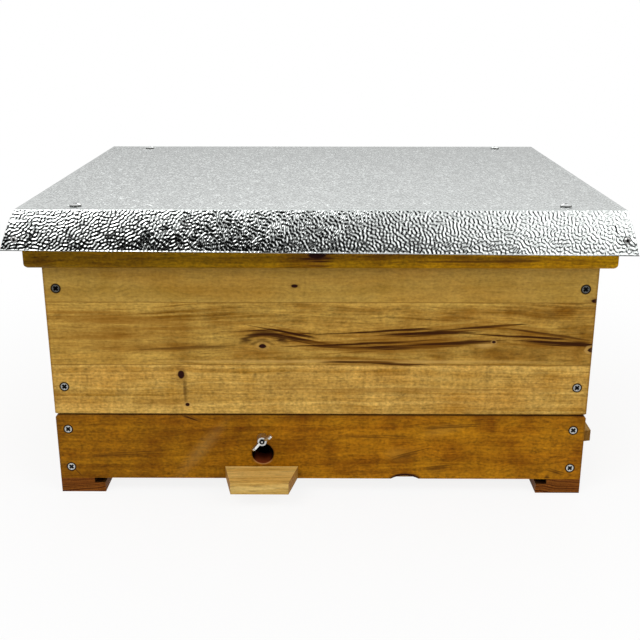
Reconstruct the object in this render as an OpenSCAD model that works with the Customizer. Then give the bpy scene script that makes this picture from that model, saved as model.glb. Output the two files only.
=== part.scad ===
// Four-chamber nuc box: floor, hive body with hanging frames, and a telescoping metal-roofed lid.
// Millimetres. +Z is up, the front faces -Y, the origin is under the middle of the box.

/* [Box] */
// outside width of the hive body and the floor
box_w = 508; // [420:1:600]
// outside depth of the hive body and the floor
box_d = 380; // [340:1:460]
// thickness of the wall boards
wall_t = 22; // [18:0.5:28]
// height of the hive body
body_h = 168; // [150:1:240]
// height of the floor walls
floor_h = 68; // [60:1:90]
// bevel on the floor's upper outer edges
floor_bevel = 3.2; // [1:0.1:5]
// bevel on the hive body's lower outer edges
body_bevel = 1.2; // [0.5:0.1:3]
// place of the fallen-out edge knot in the front wall's foot, from the middle
flaw_x = 82.6; // [20:0.1:180]
// width of the fallen-out edge knot
flaw_w = 27; // [5:0.5:40]
// height of the fallen-out edge knot
flaw_h = 3.5; // [1:0.1:8]
// depth of the fallen-out edge knot
flaw_d = 9; // [2:0.5:12]

/* [Chambers] */
// thickness of the boards that part the chambers
divider_t = 8; // [5:0.5:12]
// depth of the wall grooves that hold the dividers
groove_d = 5; // [3:0.5:8]
// play around a divider in its groove
groove_gap = 0.3; // [0.1:0.05:0.5]
// thickness of the chamber covers
cover_t = 4; // [3:0.5:8]
// gap between two neighbouring chamber covers
cover_gap = 1; // [0.5:0.1:2]
// distance from a cover's edge to the outside of the body
cover_inset = 1; // [0.5:0.1:3]

/* [Frames] */
// depth of the ledge cut that the frames hang in
rebate_h = 16; // [12:0.5:20]
// width of the ledge that the frames hang on
rebate_w = 11; // [8:0.5:14]
// thickness of the frame's top bar
top_bar_t = 10; // [8:0.5:14]
// how much narrower the top bar is than the end bars
top_bar_in = 8; // [4:0.5:12]
// free length at each end of the top bar
top_bar_play = 1.5; // [0.5:0.1:3]
// whole height of a frame
frame_h = 159; // [120:1:200]
// gap between two neighbouring frames' end bars
frame_gap = 3; // [2:0.5:5]
// gap between the outer frames and the chamber's sides
frame_side = 2.5; // [1.5:0.5:5]
// how much narrower the end bars are below
end_bar_in = 7; // [4:0.5:10]
// thickness of the frame's end bars
end_bar_t = 9; // [7:0.5:12]
// height of the wide upper part of the end bars
end_bar_wide_h = 75; // [50:1:110]
// bee way between the end bars and the wall
bee_way = 7; // [6:0.5:10]
// height of the frame's bottom bar
bottom_bar_h = 9; // [7:0.5:14]
// how much narrower the bottom bar is than the end bars
bottom_bar_in = 15; // [8:0.5:18]
// thickness of the wax foundation
wax_t = 1.6; // [1:0.1:3]
// glue line between the bars of a frame
glue_line = 0.1; // [0.05:0.05:0.2]

/* [Entrances] */
// diameter of an entrance hole
hole_d = 21; // [15:0.5:25]
// height of the entrance centre above the ground
hole_z = 42; // [38:0.5:48]
// height of the gate bolt above the entrance centre
bolt_rise = 16; // [14:0.5:20]
// how far the front and back entrances are off the middle of their chambers
entry_shift = 3.3; // [0:0.1:10]
// distance of the end entrances from the middle of the end walls
end_entry = 75; // [40:1:100]
// width of the landing board at the wall
landing_w = 71; // [60:0.5:90]
// width of the landing board at its tip
landing_tip_w = 55; // [40:0.5:70]
// reach of the front and back landing boards
landing_l = 35; // [25:0.5:50]
// reach of the end landing boards
end_landing_l = 32; // [25:0.5:50]
// thickness of the landing board
landing_t = 12; // [9:0.5:13]
// height of the landing board's underside above the ground
landing_z = 16; // [15:0.5:18]
// how far the landing board's middle is off the entrance, seen from outside: minus is to the left
landing_shift = -1.5; // [-5:0.1:5]

/* [Gates] */
// diameter of the gate bolt
bolt_d = 5; // [4:0.5:6]
// running clearance around the gate bolt
bolt_run = 0.05; // [0.02:0.01:0.1]
// thickness of the gate plate
gate_t = 2; // [1:0.1:3]
// free space between the gate plate and the wall
gate_gap = 0.3; // [0.2:0.05:0.6]
// how far the gate plate laps over the edge of the hole
gate_lap = 2.2; // [1:0.1:4]
// radius of the gate plate around its bolt
gate_hub_r = 8; // [6:0.5:10]
// angle between the open gate and the closed gate
gate_open = 112; // [100:1:130]
// side of the square neck on the bolt
neck_side = 5.2; // [5:0.1:6]
// play around the square neck in the gate plate
neck_gap = 0.1; // [0.05:0.05:0.3]
// diameter of the bolt's round head
bolt_head_d = 13; // [10:0.5:16]
// height of the bolt's round head
bolt_head_h = 2.8; // [2:0.1:4]
// how far the bolt shows past the nut
bolt_tip = 0.8; // [0.2:0.1:4]
// height of the wing nut's hub
nut_hub_h = 8; // [6:0.5:10]
// diameter of the hub at the wall
nut_base_d = 11; // [9:0.5:13]
// diameter of the hub at its outer end
nut_top_d = 8.6; // [7:0.1:10]
// span across both wings
nut_span = 24; // [20:0.5:30]
// thickness of the wings
nut_wing_t = 2.2; // [1.5:0.1:3]
// tilt of the wings from level
nut_tilt = 39; // [0:1:90]
// radius of the wing tips
wing_tip_r = 2.6; // [2:0.1:3.5]
// height of the wing tips' centres above the hub
wing_rise = 2.4; // [1:0.1:4]
// free height between the wings' roots and the hub's ends
wing_foot = 1.4; // [0.5:0.1:2]

/* [Bottom] */
// height of the runners
runner_h = 15; // [12:0.5:25]
// width of the runners
runner_w = 43; // [35:0.5:60]
// width of the slot cut in the runners' upper inner edge
slot_w = 10; // [6:0.5:14]
// height of the slot cut
slot_h = 5; // [4:0.5:7]
// thickness of the sliding bottom board
board_t = 4; // [2:0.5:4.5]
// side play of the sliding bottom board
board_play = 0.5; // [0.3:0.1:1.5]
// distance from the front of the box to the bottom board
board_back = 14; // [12:1:40]
// radius of the finger notch in the bottom board
notch_r = 15; // [10:1:25]
// thickness of the ventilation grid
grid_t = 3; // [2:0.5:4]
// width of the rebate that takes the grid's edge
grid_lap = 8; // [5:0.5:12]
// play around the grid in its rebate
grid_gap = 0.3; // [0.2:0.1:1]
// width of one grid slit
slit_w = 3.5; // [2:0.1:4]
// length of one grid slit
slit_l = 46; // [30:1:50]
// grid slits across one chamber
slit_cols = 10; // [6:1:12]
// grid slits along one chamber
slit_rows = 6; // [4:1:6]

/* [Lid] */
// thickness of the lid's rim boards
rim_t = 12; // [9:0.5:18]
// play between the rim and the hive body
rim_gap = 0.5; // [0.3:0.1:2]
// how far the rim hangs down over the hive body
rim_drop = 21; // [12:0.5:40]
// rounding of the rim's lower outer edge
rim_round = 4.5; // [2:0.5:8]
// thickness of the insulation in the lid
foam_t = 20; // [15:1:40]
// play around the insulation
foam_gap = 0.3; // [0.2:0.1:1]
// thickness of the lid panel
panel_t = 9; // [6:0.5:15]
// overhang of the lid panel past the rim
panel_over = 1.5; // [0.5:0.1:4]
// thickness of the roof sheet
sheet_t = 0.8; // [0.5:0.1:1.5]
// free space between the lid panel's edge and the roof sheet
sheet_gap = 0.3; // [0.2:0.1:1]
// height of the roof sheet's skirt
skirt_h = 37; // [25:0.5:50]
// how far the skirt flares out at its foot
skirt_flare = 10.8; // [4:0.2:16]
// width of the folded tab at each corner of the skirt
tab_w = 15; // [10:0.5:25]
// height of the folded tab
tab_h = 18; // [10:0.5:24]
// height of the tab's lower edge above the skirt's foot
tab_z = 9.5; // [6:0.5:16]

/* [Screws] */
// head diameter of the wall screws
screw_head_d = 8; // [7:0.1:9]
// shank diameter of the wall screws
screw_d = 4.2; // [3.5:0.1:5]
// length of the wall screws
screw_l = 50; // [40:1:60]
// length of the runner screws
runner_screw_l = 35; // [25:1:45]
// distance between two neighbouring runner screws
runner_screw_step = 110; // [60:1:140]
// head diameter of the landing screws
small_head_d = 7; // [6:0.1:8]
// shank diameter of the landing screws
small_d = 3.4; // [3:0.1:4]
// length of the landing screws
small_l = 40; // [32:1:45]
// distance between the two screws of a landing board
landing_screw_gap = 40; // [20:1:44]
// wood left between a landing screw's head and the grid
landing_screw_edge = 1; // [0.6:0.1:1.5]
// head diameter of the grid screws
grid_head_d = 5.6; // [5:0.1:6.5]
// shank diameter of the grid screws
grid_screw_d = 2.6; // [2:0.1:3]
// length of the grid screws
grid_screw_l = 13; // [10:1:16]
// free space around a screw in the wood
screw_gap = 0.3; // [0.2:0.05:0.5]
// width of the cross slots in the screw heads
cross_w = 1.1; // [0.8:0.1:1.6]
// depth of the cross slots in the screw heads
cross_d = 1.2; // [0.6:0.1:1.6]
// height of the straight rim of a domed head
head_rim = 0.6; // [0.3:0.1:1]
// head diameter of the roof screws
roof_head_d = 10.5; // [8:0.5:13]
// head height of the roof screws
roof_head_h = 2.2; // [1.5:0.1:4]
// shank diameter of the roof screws
roof_screw_d = 3.6; // [3:0.1:4.5]
// length of the roof screws under the head
roof_screw_l = 8.5; // [6:0.5:9]
// distance of the roof screws from the roof's side edges
roof_screw_x = 50; // [30:1:80]
// distance of the roof screws from the roof's front and back edges
roof_screw_y = 17; // [12:1:30]
// head diameter of the skirt's corner screws
corner_head_d = 6.4; // [5:0.1:8]
// length of the corner screws under the head
corner_screw_l = 7; // [5:0.5:9]
// distance of the corner screws from the skirt's corner
corner_in = 8.5; // [6:0.5:12]
// height of the corner screws above the skirt's foot
corner_z = 12; // [8:0.5:20]
// height of the body's upper wall screws above the body's foot
body_screw_hi = 125; // [110:1:140]
// height of the body's lower wall screws above the body's foot
body_screw_lo = 28; // [20:1:50]
// height of the floor's upper wall screws above the ground
floor_screw_hi = 67; // [60:0.5:72]
// height of the floor's lower wall screws above the ground
floor_screw_lo = 27; // [22:0.5:32]

/* [Hidden] */
$fn = 48;
eps = 0.01;
// how far a cut runs past the face that it opens
over = 1;
reach = 2000;
half_w = box_w / 2;
half_d = box_d / 2;
in_w = half_w - wall_t;
in_d = half_d - wall_t;
floor_top = runner_h + floor_h;
body_top = floor_top + body_h;
chamber_count = 4;
frames_each = 3;
chamber_w = (2 * in_w - (chamber_count - 1) * divider_t) / chamber_count;
chamber_step = chamber_w + divider_t;
divider_x = [-chamber_step, 0, chamber_step];
end_bar_w = (chamber_w - 2 * frame_side - (frames_each - 1) * frame_gap) / frames_each;
end_bar_low_w = end_bar_w - end_bar_in;
top_bar_w = end_bar_w - top_bar_in;
bottom_bar_w = end_bar_w - bottom_bar_in;
frame_pitch = end_bar_w + frame_gap;
front_entry = entry_shift - chamber_step / 2;
wall_screw_x = half_w - wall_t / 2;
bolt_z = hole_z + bolt_rise;
ledge_z = body_top - rebate_h;
frame_top = ledge_z + top_bar_t;
frame_foot = frame_top - frame_h;
end_bar_y = in_d - bee_way;
grid_top = runner_h + grid_t;
board_z = runner_h - slot_h;
slot_x = half_w - runner_w + slot_w;
runner_screw_y = runner_screw_step * [-1, 0, 1];
landing_screw_x = [for (side = [-1, 1]) landing_shift + side * landing_screw_gap / 2];
landing_screw_z = grid_top + small_head_d / 2 + landing_screw_edge;
// in chamber steps from the middle, clear of the dividers and the landing screws
grid_screw_steps = [-1.7, -1.25, 0.5, 1.55];
grid_screw_x = chamber_step * grid_screw_steps;
// lengths of the cross slots as shares of their heads
flat_cross = 0.64;
dome_cross = 0.44;
cross_turns = [45, 135];
rim_in = rim_gap;
rim_out = rim_gap + rim_t;
cover_top = body_top + cover_t;
panel_z = cover_top + foam_t;
rim_z = body_top - rim_drop;
sheet_z = panel_z + panel_t;
roof_over = rim_out + panel_over + sheet_gap + sheet_t;
skirt_z = sheet_z + sheet_t - skirt_h;
skirt_run = sheet_t * sqrt(1 + pow(skirt_flare / skirt_h, 2));
skirt_lean = atan(skirt_flare / skirt_h);
corner_over = roof_over + skirt_flare * (1 - corner_z / skirt_h) + skirt_run;
wood = [0.72, 0.55, 0.3];
stain = [0.55, 0.36, 0.14];
raw_wood = [0.85, 0.72, 0.48];
steel = [0.75, 0.75, 0.78];
plastic = [0.2, 0.2, 0.2];
wax = [0.95, 0.8, 0.4];
foam = [0.55, 0.75, 0.85];
roof_grey = [0.8, 0.81, 0.82];

FLOOR_NODES = [
    "floor_front_wall", "floor_back_wall", "floor_left_wall", "floor_right_wall",
    "floor_dividers", "left_runner", "right_runner", "floor_grid",
    "front_landing", "right_landing", "back_landing", "left_landing",
    "floor_screws", "bottom_board",
];
GATE_NODES = [
    "front_gate", "right_gate", "back_gate", "left_gate",
    "front_bolt", "right_bolt", "back_bolt", "left_bolt",
    "front_wing_nut", "right_wing_nut", "back_wing_nut", "left_wing_nut",
];
BODY_NODES = [
    "body_front_wall", "body_back_wall", "body_left_wall", "body_right_wall",
    "body_divider_1", "body_divider_2", "body_divider_3", "body_screws",
    "chamber_cover_1", "chamber_cover_2", "chamber_cover_3", "chamber_cover_4",
];
FRAME_NODES = [
    "frame_1a", "frame_1b", "frame_1c", "frame_2a", "frame_2b", "frame_2c",
    "frame_3a", "frame_3b", "frame_3c", "frame_4a", "frame_4b", "frame_4c",
];
LID_NODES = [
    "lid_front_rim", "lid_back_rim", "lid_left_rim", "lid_right_rim",
    "lid_panel", "lid_foam", "roof_sheet", "roof_screws", "corner_screws",
];

// A box from its lower corner to its upper corner.
module span(lo, hi) {
    translate(lo) cube(hi - lo);
}

// Places children on a wall: outer face at y = 0, outside towards -Y, x along the wall.
module on_front() {
    translate([front_entry, -half_d, 0]) children();
}

module on_right() {
    translate([half_w, -end_entry, 0]) rotate([0, 0, 90]) children();
}

module half_turn() {
    rotate([0, 0, 180]) children();
}

// The crossed slots of a screw head whose top is at the given height.
module cross_slots(l, top) {
    for (turn = cross_turns) {
        rotate([0, 0, turn]) {
            translate([-l / 2, -cross_w / 2, top - cross_d]) cube([l, cross_w, cross_d + over]);
        }
    }
}

// A domed head that stands on the origin: a straight rim under a spherical cap.
module dome_head(d, h) {
    cap_h = h - head_rim;
    r = (d * d / 4 + cap_h * cap_h) / (2 * cap_h);
    cylinder(d = d, h = head_rim);
    intersection() {
        cylinder(d = d, h = h);
        translate([0, 0, h - r]) sphere(r = r);
    }
}

// A flat-headed wood screw that points down from the origin, with its tip cut flat.
module wood_screw(head_d, d, l) {
    head_h = (head_d - d) / 2;
    difference() {
        union() {
            translate([0, 0, -head_h]) cylinder(d1 = d, d2 = head_d, h = head_h);
            translate([0, 0, -l]) cylinder(d = d, h = l - head_h + eps);
        }
        cross_slots(head_d * flat_cross, 0);
    }
}

// The hole that a wood screw sits in; its floor meets the screw's tip.
module screw_hole(head_d, d, l) {
    head_h = (head_d - d) / 2;
    translate([0, 0, -head_h - screw_gap]) {
        cylinder(d1 = d + 2 * screw_gap, d2 = head_d + 2 * screw_gap, h = head_h + screw_gap + eps);
    }
    translate([0, 0, -l]) cylinder(d = d + 2 * screw_gap, h = l);
}

// Wall screw places on the front face, heads outwards.
module at_wall_screws(heights) {
    for (x = [-wall_screw_x, wall_screw_x], z = heights) {
        translate([x, -half_d, z]) rotate([90, 0, 0]) children();
    }
}

module at_front_and_back() {
    children();
    half_turn() children();
}

// Landing screw places on the inside of the wall, in the wall's own frame.
module at_landing_screws() {
    for (x = landing_screw_x) {
        translate([x, wall_t, landing_screw_z]) rotate([-90, 0, 0]) children();
    }
}

module at_runner_screws() {
    for (x = [-wall_screw_x, wall_screw_x], y = runner_screw_y) {
        translate([x, y, 0]) rotate([180, 0, 0]) children();
    }
}

module at_grid_screws() {
    for (x = grid_screw_x) {
        translate([x, -in_d - grid_lap / 2, runner_h]) rotate([180, 0, 0]) children();
    }
}

// The entrance hole and the bolt bore, in the wall's own frame.
module entrance_cut() {
    translate([0, -over, hole_z]) rotate([-90, 0, 0]) cylinder(d = hole_d, h = wall_t + 2 * over);
    translate([0, -over, bolt_z]) rotate([-90, 0, 0]) {
        cylinder(d = bolt_d + 2 * bolt_run, h = wall_t + 2 * over);
    }
    at_landing_screws() screw_hole(small_head_d, small_d, small_l);
}

// Grooves in the front wall's inner face for the dividers.
module divider_grooves(z0, z1) {
    for (x = divider_x) {
        span(
            [x - divider_t / 2 - groove_gap, -in_d - groove_d - groove_gap, z0],
            [x + divider_t / 2 + groove_gap, -in_d + eps, z1]
        );
    }
}

// The outline of the floor seen from one side, with its bevelled upper edges.
module bevel_outline(half) {
    polygon([
        [-half, runner_h], [half, runner_h],
        [half, floor_top - floor_bevel], [half - floor_bevel, floor_top],
        [floor_bevel - half, floor_top], [-half, floor_top - floor_bevel],
    ]);
}

module floor_bevels() {
    intersection() {
        translate([0, half_d, 0]) rotate([90, 0, 0]) linear_extrude(box_d) bevel_outline(half_w);
        translate([-half_w, 0, 0]) rotate([90, 0, 90]) linear_extrude(box_w) bevel_outline(half_d);
    }
}

module grid_rebate() {
    x = in_w + grid_lap;
    y = in_d + grid_lap;
    span([-x, -y, runner_h - over], [x, y, grid_top]);
}

module floor_long_wall() {
    difference() {
        intersection() {
            floor_bevels();
            span([-half_w, -half_d, runner_h], [half_w, -in_d, floor_top]);
        }
        grid_rebate();
        divider_grooves(grid_top - eps, floor_top + over);
        on_front() entrance_cut();
        at_wall_screws([floor_screw_lo, floor_screw_hi]) screw_hole(screw_head_d, screw_d, screw_l);
        at_grid_screws() screw_hole(grid_head_d, grid_screw_d, grid_screw_l);
    }
}

module floor_end_wall() {
    difference() {
        intersection() {
            floor_bevels();
            span([in_w, -in_d, runner_h], [half_w, in_d, floor_top]);
        }
        grid_rebate();
        on_right() entrance_cut();
        at_front_and_back() {
            at_wall_screws([floor_screw_lo, floor_screw_hi]) screw_hole(screw_head_d, screw_d, screw_l);
        }
        at_runner_screws() screw_hole(screw_head_d, screw_d, runner_screw_l);
    }
}

// The shallow arch that a fallen-out edge knot leaves in the front wall's foot.
module edge_flaw() {
    r = (flaw_w * flaw_w / 4 + flaw_h * flaw_h) / (2 * flaw_h);
    translate([flaw_x, flaw_d - half_d, runner_h + flaw_h - r]) {
        rotate([90, 0, 0]) cylinder(r = r, h = flaw_d + over);
    }
}

module floor_front_wall() {
    color(stain) {
        difference() {
            floor_long_wall();
            edge_flaw();
        }
    }
}

module floor_back_wall() {
    color(stain) half_turn() floor_long_wall();
}

module floor_right_wall() {
    color(stain) floor_end_wall();
}

module floor_left_wall() {
    color(stain) half_turn() floor_end_wall();
}

module floor_dividers() {
    color(raw_wood) {
        for (x = divider_x) {
            span(
                [x - divider_t / 2, -in_d - groove_d, grid_top],
                [x + divider_t / 2, in_d + groove_d, floor_top]
            );
        }
    }
}

module runner() {
    difference() {
        span([half_w - runner_w, -half_d, 0], [half_w, half_d, runner_h]);
        span(
            [half_w - runner_w - over, -half_d - over, board_z],
            [slot_x, half_d + over, runner_h + over]
        );
        at_runner_screws() screw_hole(screw_head_d, screw_d, runner_screw_l);
    }
}

module right_runner() {
    color(stain) runner();
}

module left_runner() {
    color(stain) half_turn() runner();
}

// The slits of the ventilation grid, in plan.
module grid_slits() {
    col_step = chamber_w / slit_cols;
    row_step = 2 * in_d / slit_rows;
    for (chamber = [0:chamber_count - 1], col = [0:slit_cols - 1], row = [0:slit_rows - 1]) {
        translate([
            -in_w + chamber * chamber_step + (col + 0.5) * col_step - slit_w / 2,
            -in_d + (row + 0.5) * row_step - slit_l / 2
        ]) {
            square([slit_w, slit_l]);
        }
    }
}

module floor_grid() {
    grid_w = 2 * (in_w + grid_lap - grid_gap);
    grid_l = 2 * (in_d + grid_lap - grid_gap);
    color(plastic) {
        difference() {
            translate([0, 0, runner_h]) {
                linear_extrude(grid_t) {
                    difference() {
                        square([grid_w, grid_l], center = true);
                        grid_slits();
                    }
                }
            }
            at_front_and_back() at_grid_screws() screw_hole(grid_head_d, grid_screw_d, grid_screw_l);
        }
    }
}

module landing(l) {
    difference() {
        translate([landing_shift, 0, landing_z]) {
            linear_extrude(landing_t) {
                polygon([
                    [-landing_w / 2, 0], [-landing_tip_w / 2, -l],
                    [landing_tip_w / 2, -l], [landing_w / 2, 0],
                ]);
            }
        }
        at_landing_screws() screw_hole(small_head_d, small_d, small_l);
    }
}

module front_landing() {
    color(raw_wood) on_front() landing(landing_l);
}

module right_landing() {
    color(raw_wood) on_right() landing(end_landing_l);
}

module back_landing() {
    color(raw_wood) half_turn() on_front() landing(landing_l);
}

module left_landing() {
    color(raw_wood) half_turn() on_right() landing(end_landing_l);
}

module floor_screws() {
    color(steel) {
        at_front_and_back() {
            at_wall_screws([floor_screw_lo, floor_screw_hi]) wood_screw(screw_head_d, screw_d, screw_l);
            at_grid_screws() wood_screw(grid_head_d, grid_screw_d, grid_screw_l);
            on_front() at_landing_screws() wood_screw(small_head_d, small_d, small_l);
            on_right() at_landing_screws() wood_screw(small_head_d, small_d, small_l);
        }
        at_runner_screws() wood_screw(screw_head_d, screw_d, runner_screw_l);
    }
}

module bottom_board() {
    color(raw_wood) {
        difference() {
            span(
                [board_play - slot_x, board_back - half_d, board_z],
                [slot_x - board_play, half_d, board_z + board_t]
            );
            translate([0, half_d, board_z - over]) cylinder(r = notch_r, h = board_t + 2 * over);
        }
    }
}

// The gate plate in its open place, in the wall's own frame.
module gate() {
    disc_r = hole_d / 2 + gate_lap;
    translate([0, wall_t + gate_gap, bolt_z]) rotate([-90, 0, 0]) rotate([0, 0, gate_open]) {
        linear_extrude(gate_t) {
            difference() {
                union() {
                    circle(r = gate_hub_r);
                    translate([0, bolt_rise]) circle(r = disc_r);
                    polygon([
                        [-gate_hub_r, 0], [gate_hub_r, 0],
                        [disc_r, bolt_rise], [-disc_r, bolt_rise],
                    ]);
                }
                square(neck_side + 2 * neck_gap, center = true);
            }
        }
    }
}

// The round-headed bolt: head and square neck inside, round shank through the wall.
module gate_bolt() {
    shank_l = wall_t + gate_gap + nut_hub_h + gate_gap + bolt_tip;
    translate([0, wall_t + gate_gap, bolt_z]) rotate([-90, 0, 0]) {
        translate([0, 0, gate_t]) dome_head(bolt_head_d, bolt_head_h);
        rotate([0, 0, gate_open]) {
            linear_extrude(gate_t + eps) square(neck_side, center = true);
        }
        translate([0, 0, -shank_l]) cylinder(d = bolt_d, h = shank_l + eps);
    }
}

// One wing, drawn outwards from the bolt and away from the wall, with a round tip.
module wing_outline() {
    tip_x = nut_span / 2 - wing_tip_r;
    tip_y = nut_hub_h + wing_rise;
    lean = atan(tip_y / tip_x);
    side = wing_tip_r * [sin(lean), -cos(lean)];
    polygon([
        [0, wing_foot], [tip_x, tip_y] + side,
        [tip_x, tip_y] - side, [0, nut_hub_h - wing_foot],
    ]);
    translate([tip_x, tip_y]) circle(r = wing_tip_r);
}

module wing_nut() {
    translate([0, -gate_gap, bolt_z]) rotate([90, 0, 0]) rotate([0, 0, nut_tilt]) {
        difference() {
            union() {
                cylinder(d1 = nut_base_d, d2 = nut_top_d, h = nut_hub_h);
                for (side = [0, 180]) {
                    rotate([90, 0, side]) linear_extrude(nut_wing_t, center = true) wing_outline();
                }
            }
            translate([0, 0, -over]) cylinder(d = bolt_d + 2 * bolt_run, h = nut_hub_h + 2 * over);
        }
    }
}

module front_gate() {
    color(steel) on_front() gate();
}

module right_gate() {
    color(steel) on_right() gate();
}

module back_gate() {
    color(steel) half_turn() on_front() gate();
}

module left_gate() {
    color(steel) half_turn() on_right() gate();
}

module front_bolt() {
    color(steel) on_front() gate_bolt();
}

module right_bolt() {
    color(steel) on_right() gate_bolt();
}

module back_bolt() {
    color(steel) half_turn() on_front() gate_bolt();
}

module left_bolt() {
    color(steel) half_turn() on_right() gate_bolt();
}

module front_wing_nut() {
    color(steel) on_front() wing_nut();
}

module right_wing_nut() {
    color(steel) on_right() wing_nut();
}

module back_wing_nut() {
    color(steel) half_turn() on_front() wing_nut();
}

module left_wing_nut() {
    color(steel) half_turn() on_right() wing_nut();
}

module at_body_screws() {
    at_wall_screws([floor_top + body_screw_lo, floor_top + body_screw_hi]) children();
}

// The outline of the hive body seen from one side, with its bevelled lower edges.
module body_outline(half) {
    polygon([
        [body_bevel - half, floor_top], [half - body_bevel, floor_top],
        [half, floor_top + body_bevel], [half, body_top],
        [-half, body_top], [-half, floor_top + body_bevel],
    ]);
}

module body_block() {
    intersection() {
        translate([0, half_d, 0]) rotate([90, 0, 0]) linear_extrude(box_d) body_outline(half_w);
        translate([-half_w, 0, 0]) rotate([90, 0, 90]) linear_extrude(box_w) body_outline(half_d);
    }
}

module body_long_wall() {
    difference() {
        intersection() {
            body_block();
            span([-half_w, -half_d, floor_top], [half_w, -in_d, body_top]);
        }
        span([-in_w, -in_d - rebate_w, ledge_z], [in_w, -in_d + over, body_top + over]);
        divider_grooves(floor_top - over, body_top + over);
        at_body_screws() screw_hole(screw_head_d, screw_d, screw_l);
    }
}

module body_end_wall() {
    difference() {
        intersection() {
            body_block();
            span([in_w, -in_d, floor_top], [half_w, in_d, body_top]);
        }
        at_front_and_back() at_body_screws() screw_hole(screw_head_d, screw_d, screw_l);
    }
}

module body_front_wall() {
    color(wood) body_long_wall();
}

module body_back_wall() {
    color(wood) half_turn() body_long_wall();
}

module body_right_wall() {
    color(wood) body_end_wall();
}

module body_left_wall() {
    color(wood) half_turn() body_end_wall();
}

// A chamber divider with ears that fill the frame ledges.
module body_divider(index) {
    foot = in_d + groove_d;
    ear = in_d + rebate_w - groove_gap;
    color(raw_wood) {
        translate([divider_x[index] - divider_t / 2, 0, 0]) {
            rotate([90, 0, 90]) {
                linear_extrude(divider_t) {
                    polygon([
                        [-foot, floor_top], [foot, floor_top], [foot, ledge_z], [ear, ledge_z],
                        [ear, body_top], [-ear, body_top], [-ear, ledge_z], [-foot, ledge_z],
                    ]);
                }
            }
        }
    }
}

module body_divider_1() {
    body_divider(0);
}

module body_divider_2() {
    body_divider(1);
}

module body_divider_3() {
    body_divider(2);
}

module body_screws() {
    color(steel) at_front_and_back() at_body_screws() wood_screw(screw_head_d, screw_d, screw_l);
}

// One loose cover over one chamber; its edges meet over the dividers.
module chamber_cover(index) {
    edge = half_w - cover_inset;
    x0 = index == 0 ? -edge : divider_x[index - 1] + cover_gap / 2;
    x1 = index == chamber_count - 1 ? edge : divider_x[index] - cover_gap / 2;
    color(raw_wood) span([x0, cover_inset - half_d, body_top], [x1, half_d - cover_inset, cover_top]);
}

module chamber_cover_1() {
    chamber_cover(0);
}

module chamber_cover_2() {
    chamber_cover(1);
}

module chamber_cover_3() {
    chamber_cover(2);
}

module chamber_cover_4() {
    chamber_cover(3);
}

// One end bar of a frame, wide above and narrow below.
module end_bar() {
    neck_z = ledge_z - end_bar_wide_h;
    translate([0, end_bar_y, 0]) {
        rotate([90, 0, 0]) {
            linear_extrude(end_bar_t) {
                polygon([
                    [-end_bar_low_w / 2, frame_foot], [end_bar_low_w / 2, frame_foot],
                    [end_bar_low_w / 2, neck_z - bee_way], [end_bar_w / 2, neck_z],
                    [end_bar_w / 2, ledge_z - glue_line], [-end_bar_w / 2, ledge_z - glue_line],
                    [-end_bar_w / 2, neck_z], [-end_bar_low_w / 2, neck_z - bee_way],
                ]);
            }
        }
    }
}

// A hanging frame: top bar, two end bars, bottom bar and wax foundation.
module frame(chamber, place) {
    x = -in_w + chamber_w / 2 + chamber * chamber_step + place * frame_pitch;
    bar_l = in_d + rebate_w - top_bar_play;
    inner = end_bar_y - end_bar_t - glue_line;
    bottom_top = frame_foot + bottom_bar_h;
    translate([x, 0, 0]) {
        color(raw_wood) {
            span([-top_bar_w / 2, -bar_l, ledge_z], [top_bar_w / 2, bar_l, frame_top]);
            end_bar();
            half_turn() end_bar();
            span([-bottom_bar_w / 2, -inner, frame_foot], [bottom_bar_w / 2, inner, bottom_top]);
        }
        color(wax) {
            span([-wax_t / 2, -inner, bottom_top + glue_line], [wax_t / 2, inner, ledge_z - glue_line]);
        }
    }
}

module frame_1a() {
    frame(0, -1);
}

module frame_1b() {
    frame(0, 0);
}

module frame_1c() {
    frame(0, 1);
}

module frame_2a() {
    frame(1, -1);
}

module frame_2b() {
    frame(1, 0);
}

module frame_2c() {
    frame(1, 1);
}

module frame_3a() {
    frame(2, -1);
}

module frame_3b() {
    frame(2, 0);
}

module frame_3c() {
    frame(2, 1);
}

module frame_4a() {
    frame(3, -1);
}

module frame_4b() {
    frame(3, 0);
}

module frame_4c() {
    frame(3, 1);
}

// A rim outline with both lower corners rounded, centred on x = 0.
module rim_outline(half) {
    translate([-half, rim_z + rim_round]) square([2 * half, panel_z - rim_z - rim_round]);
    translate([rim_round - half, rim_z]) square([2 * (half - rim_round), rim_round + eps]);
    for (side = [-1, 1]) {
        translate([side * (half - rim_round), rim_z + rim_round]) circle(r = rim_round);
    }
}

// The whole rim as one block, rounded along its lower outer edges.
module rim_block() {
    out_w = half_w + rim_out;
    out_d = half_d + rim_out;
    intersection() {
        translate([0, out_d, 0]) rotate([90, 0, 0]) linear_extrude(2 * out_d) rim_outline(out_w);
        translate([-out_w, 0, 0]) rotate([90, 0, 90]) linear_extrude(2 * out_w) rim_outline(out_d);
    }
}

module rim_long() {
    intersection() {
        rim_block();
        span([-reach, -half_d - rim_out, rim_z], [reach, -half_d - rim_in, panel_z]);
    }
}

module rim_end() {
    intersection() {
        rim_block();
        span([half_w + rim_in, -half_d - rim_in, rim_z], [half_w + rim_out, half_d + rim_in, panel_z]);
    }
}

module lid_front_rim() {
    color(stain) rim_long();
}

module lid_back_rim() {
    color(stain) half_turn() rim_long();
}

module lid_right_rim() {
    color(stain) rim_end();
}

module lid_left_rim() {
    color(stain) half_turn() rim_end();
}

// Places children at the roof screws, on the roof's upper face.
module at_roof_screws() {
    x = half_w + roof_over - roof_screw_x;
    y = half_d + roof_over - roof_screw_y;
    for (sx = [-x, x], sy = [-y, y]) {
        translate([sx, sy, sheet_z + sheet_t]) children();
    }
}

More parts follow.
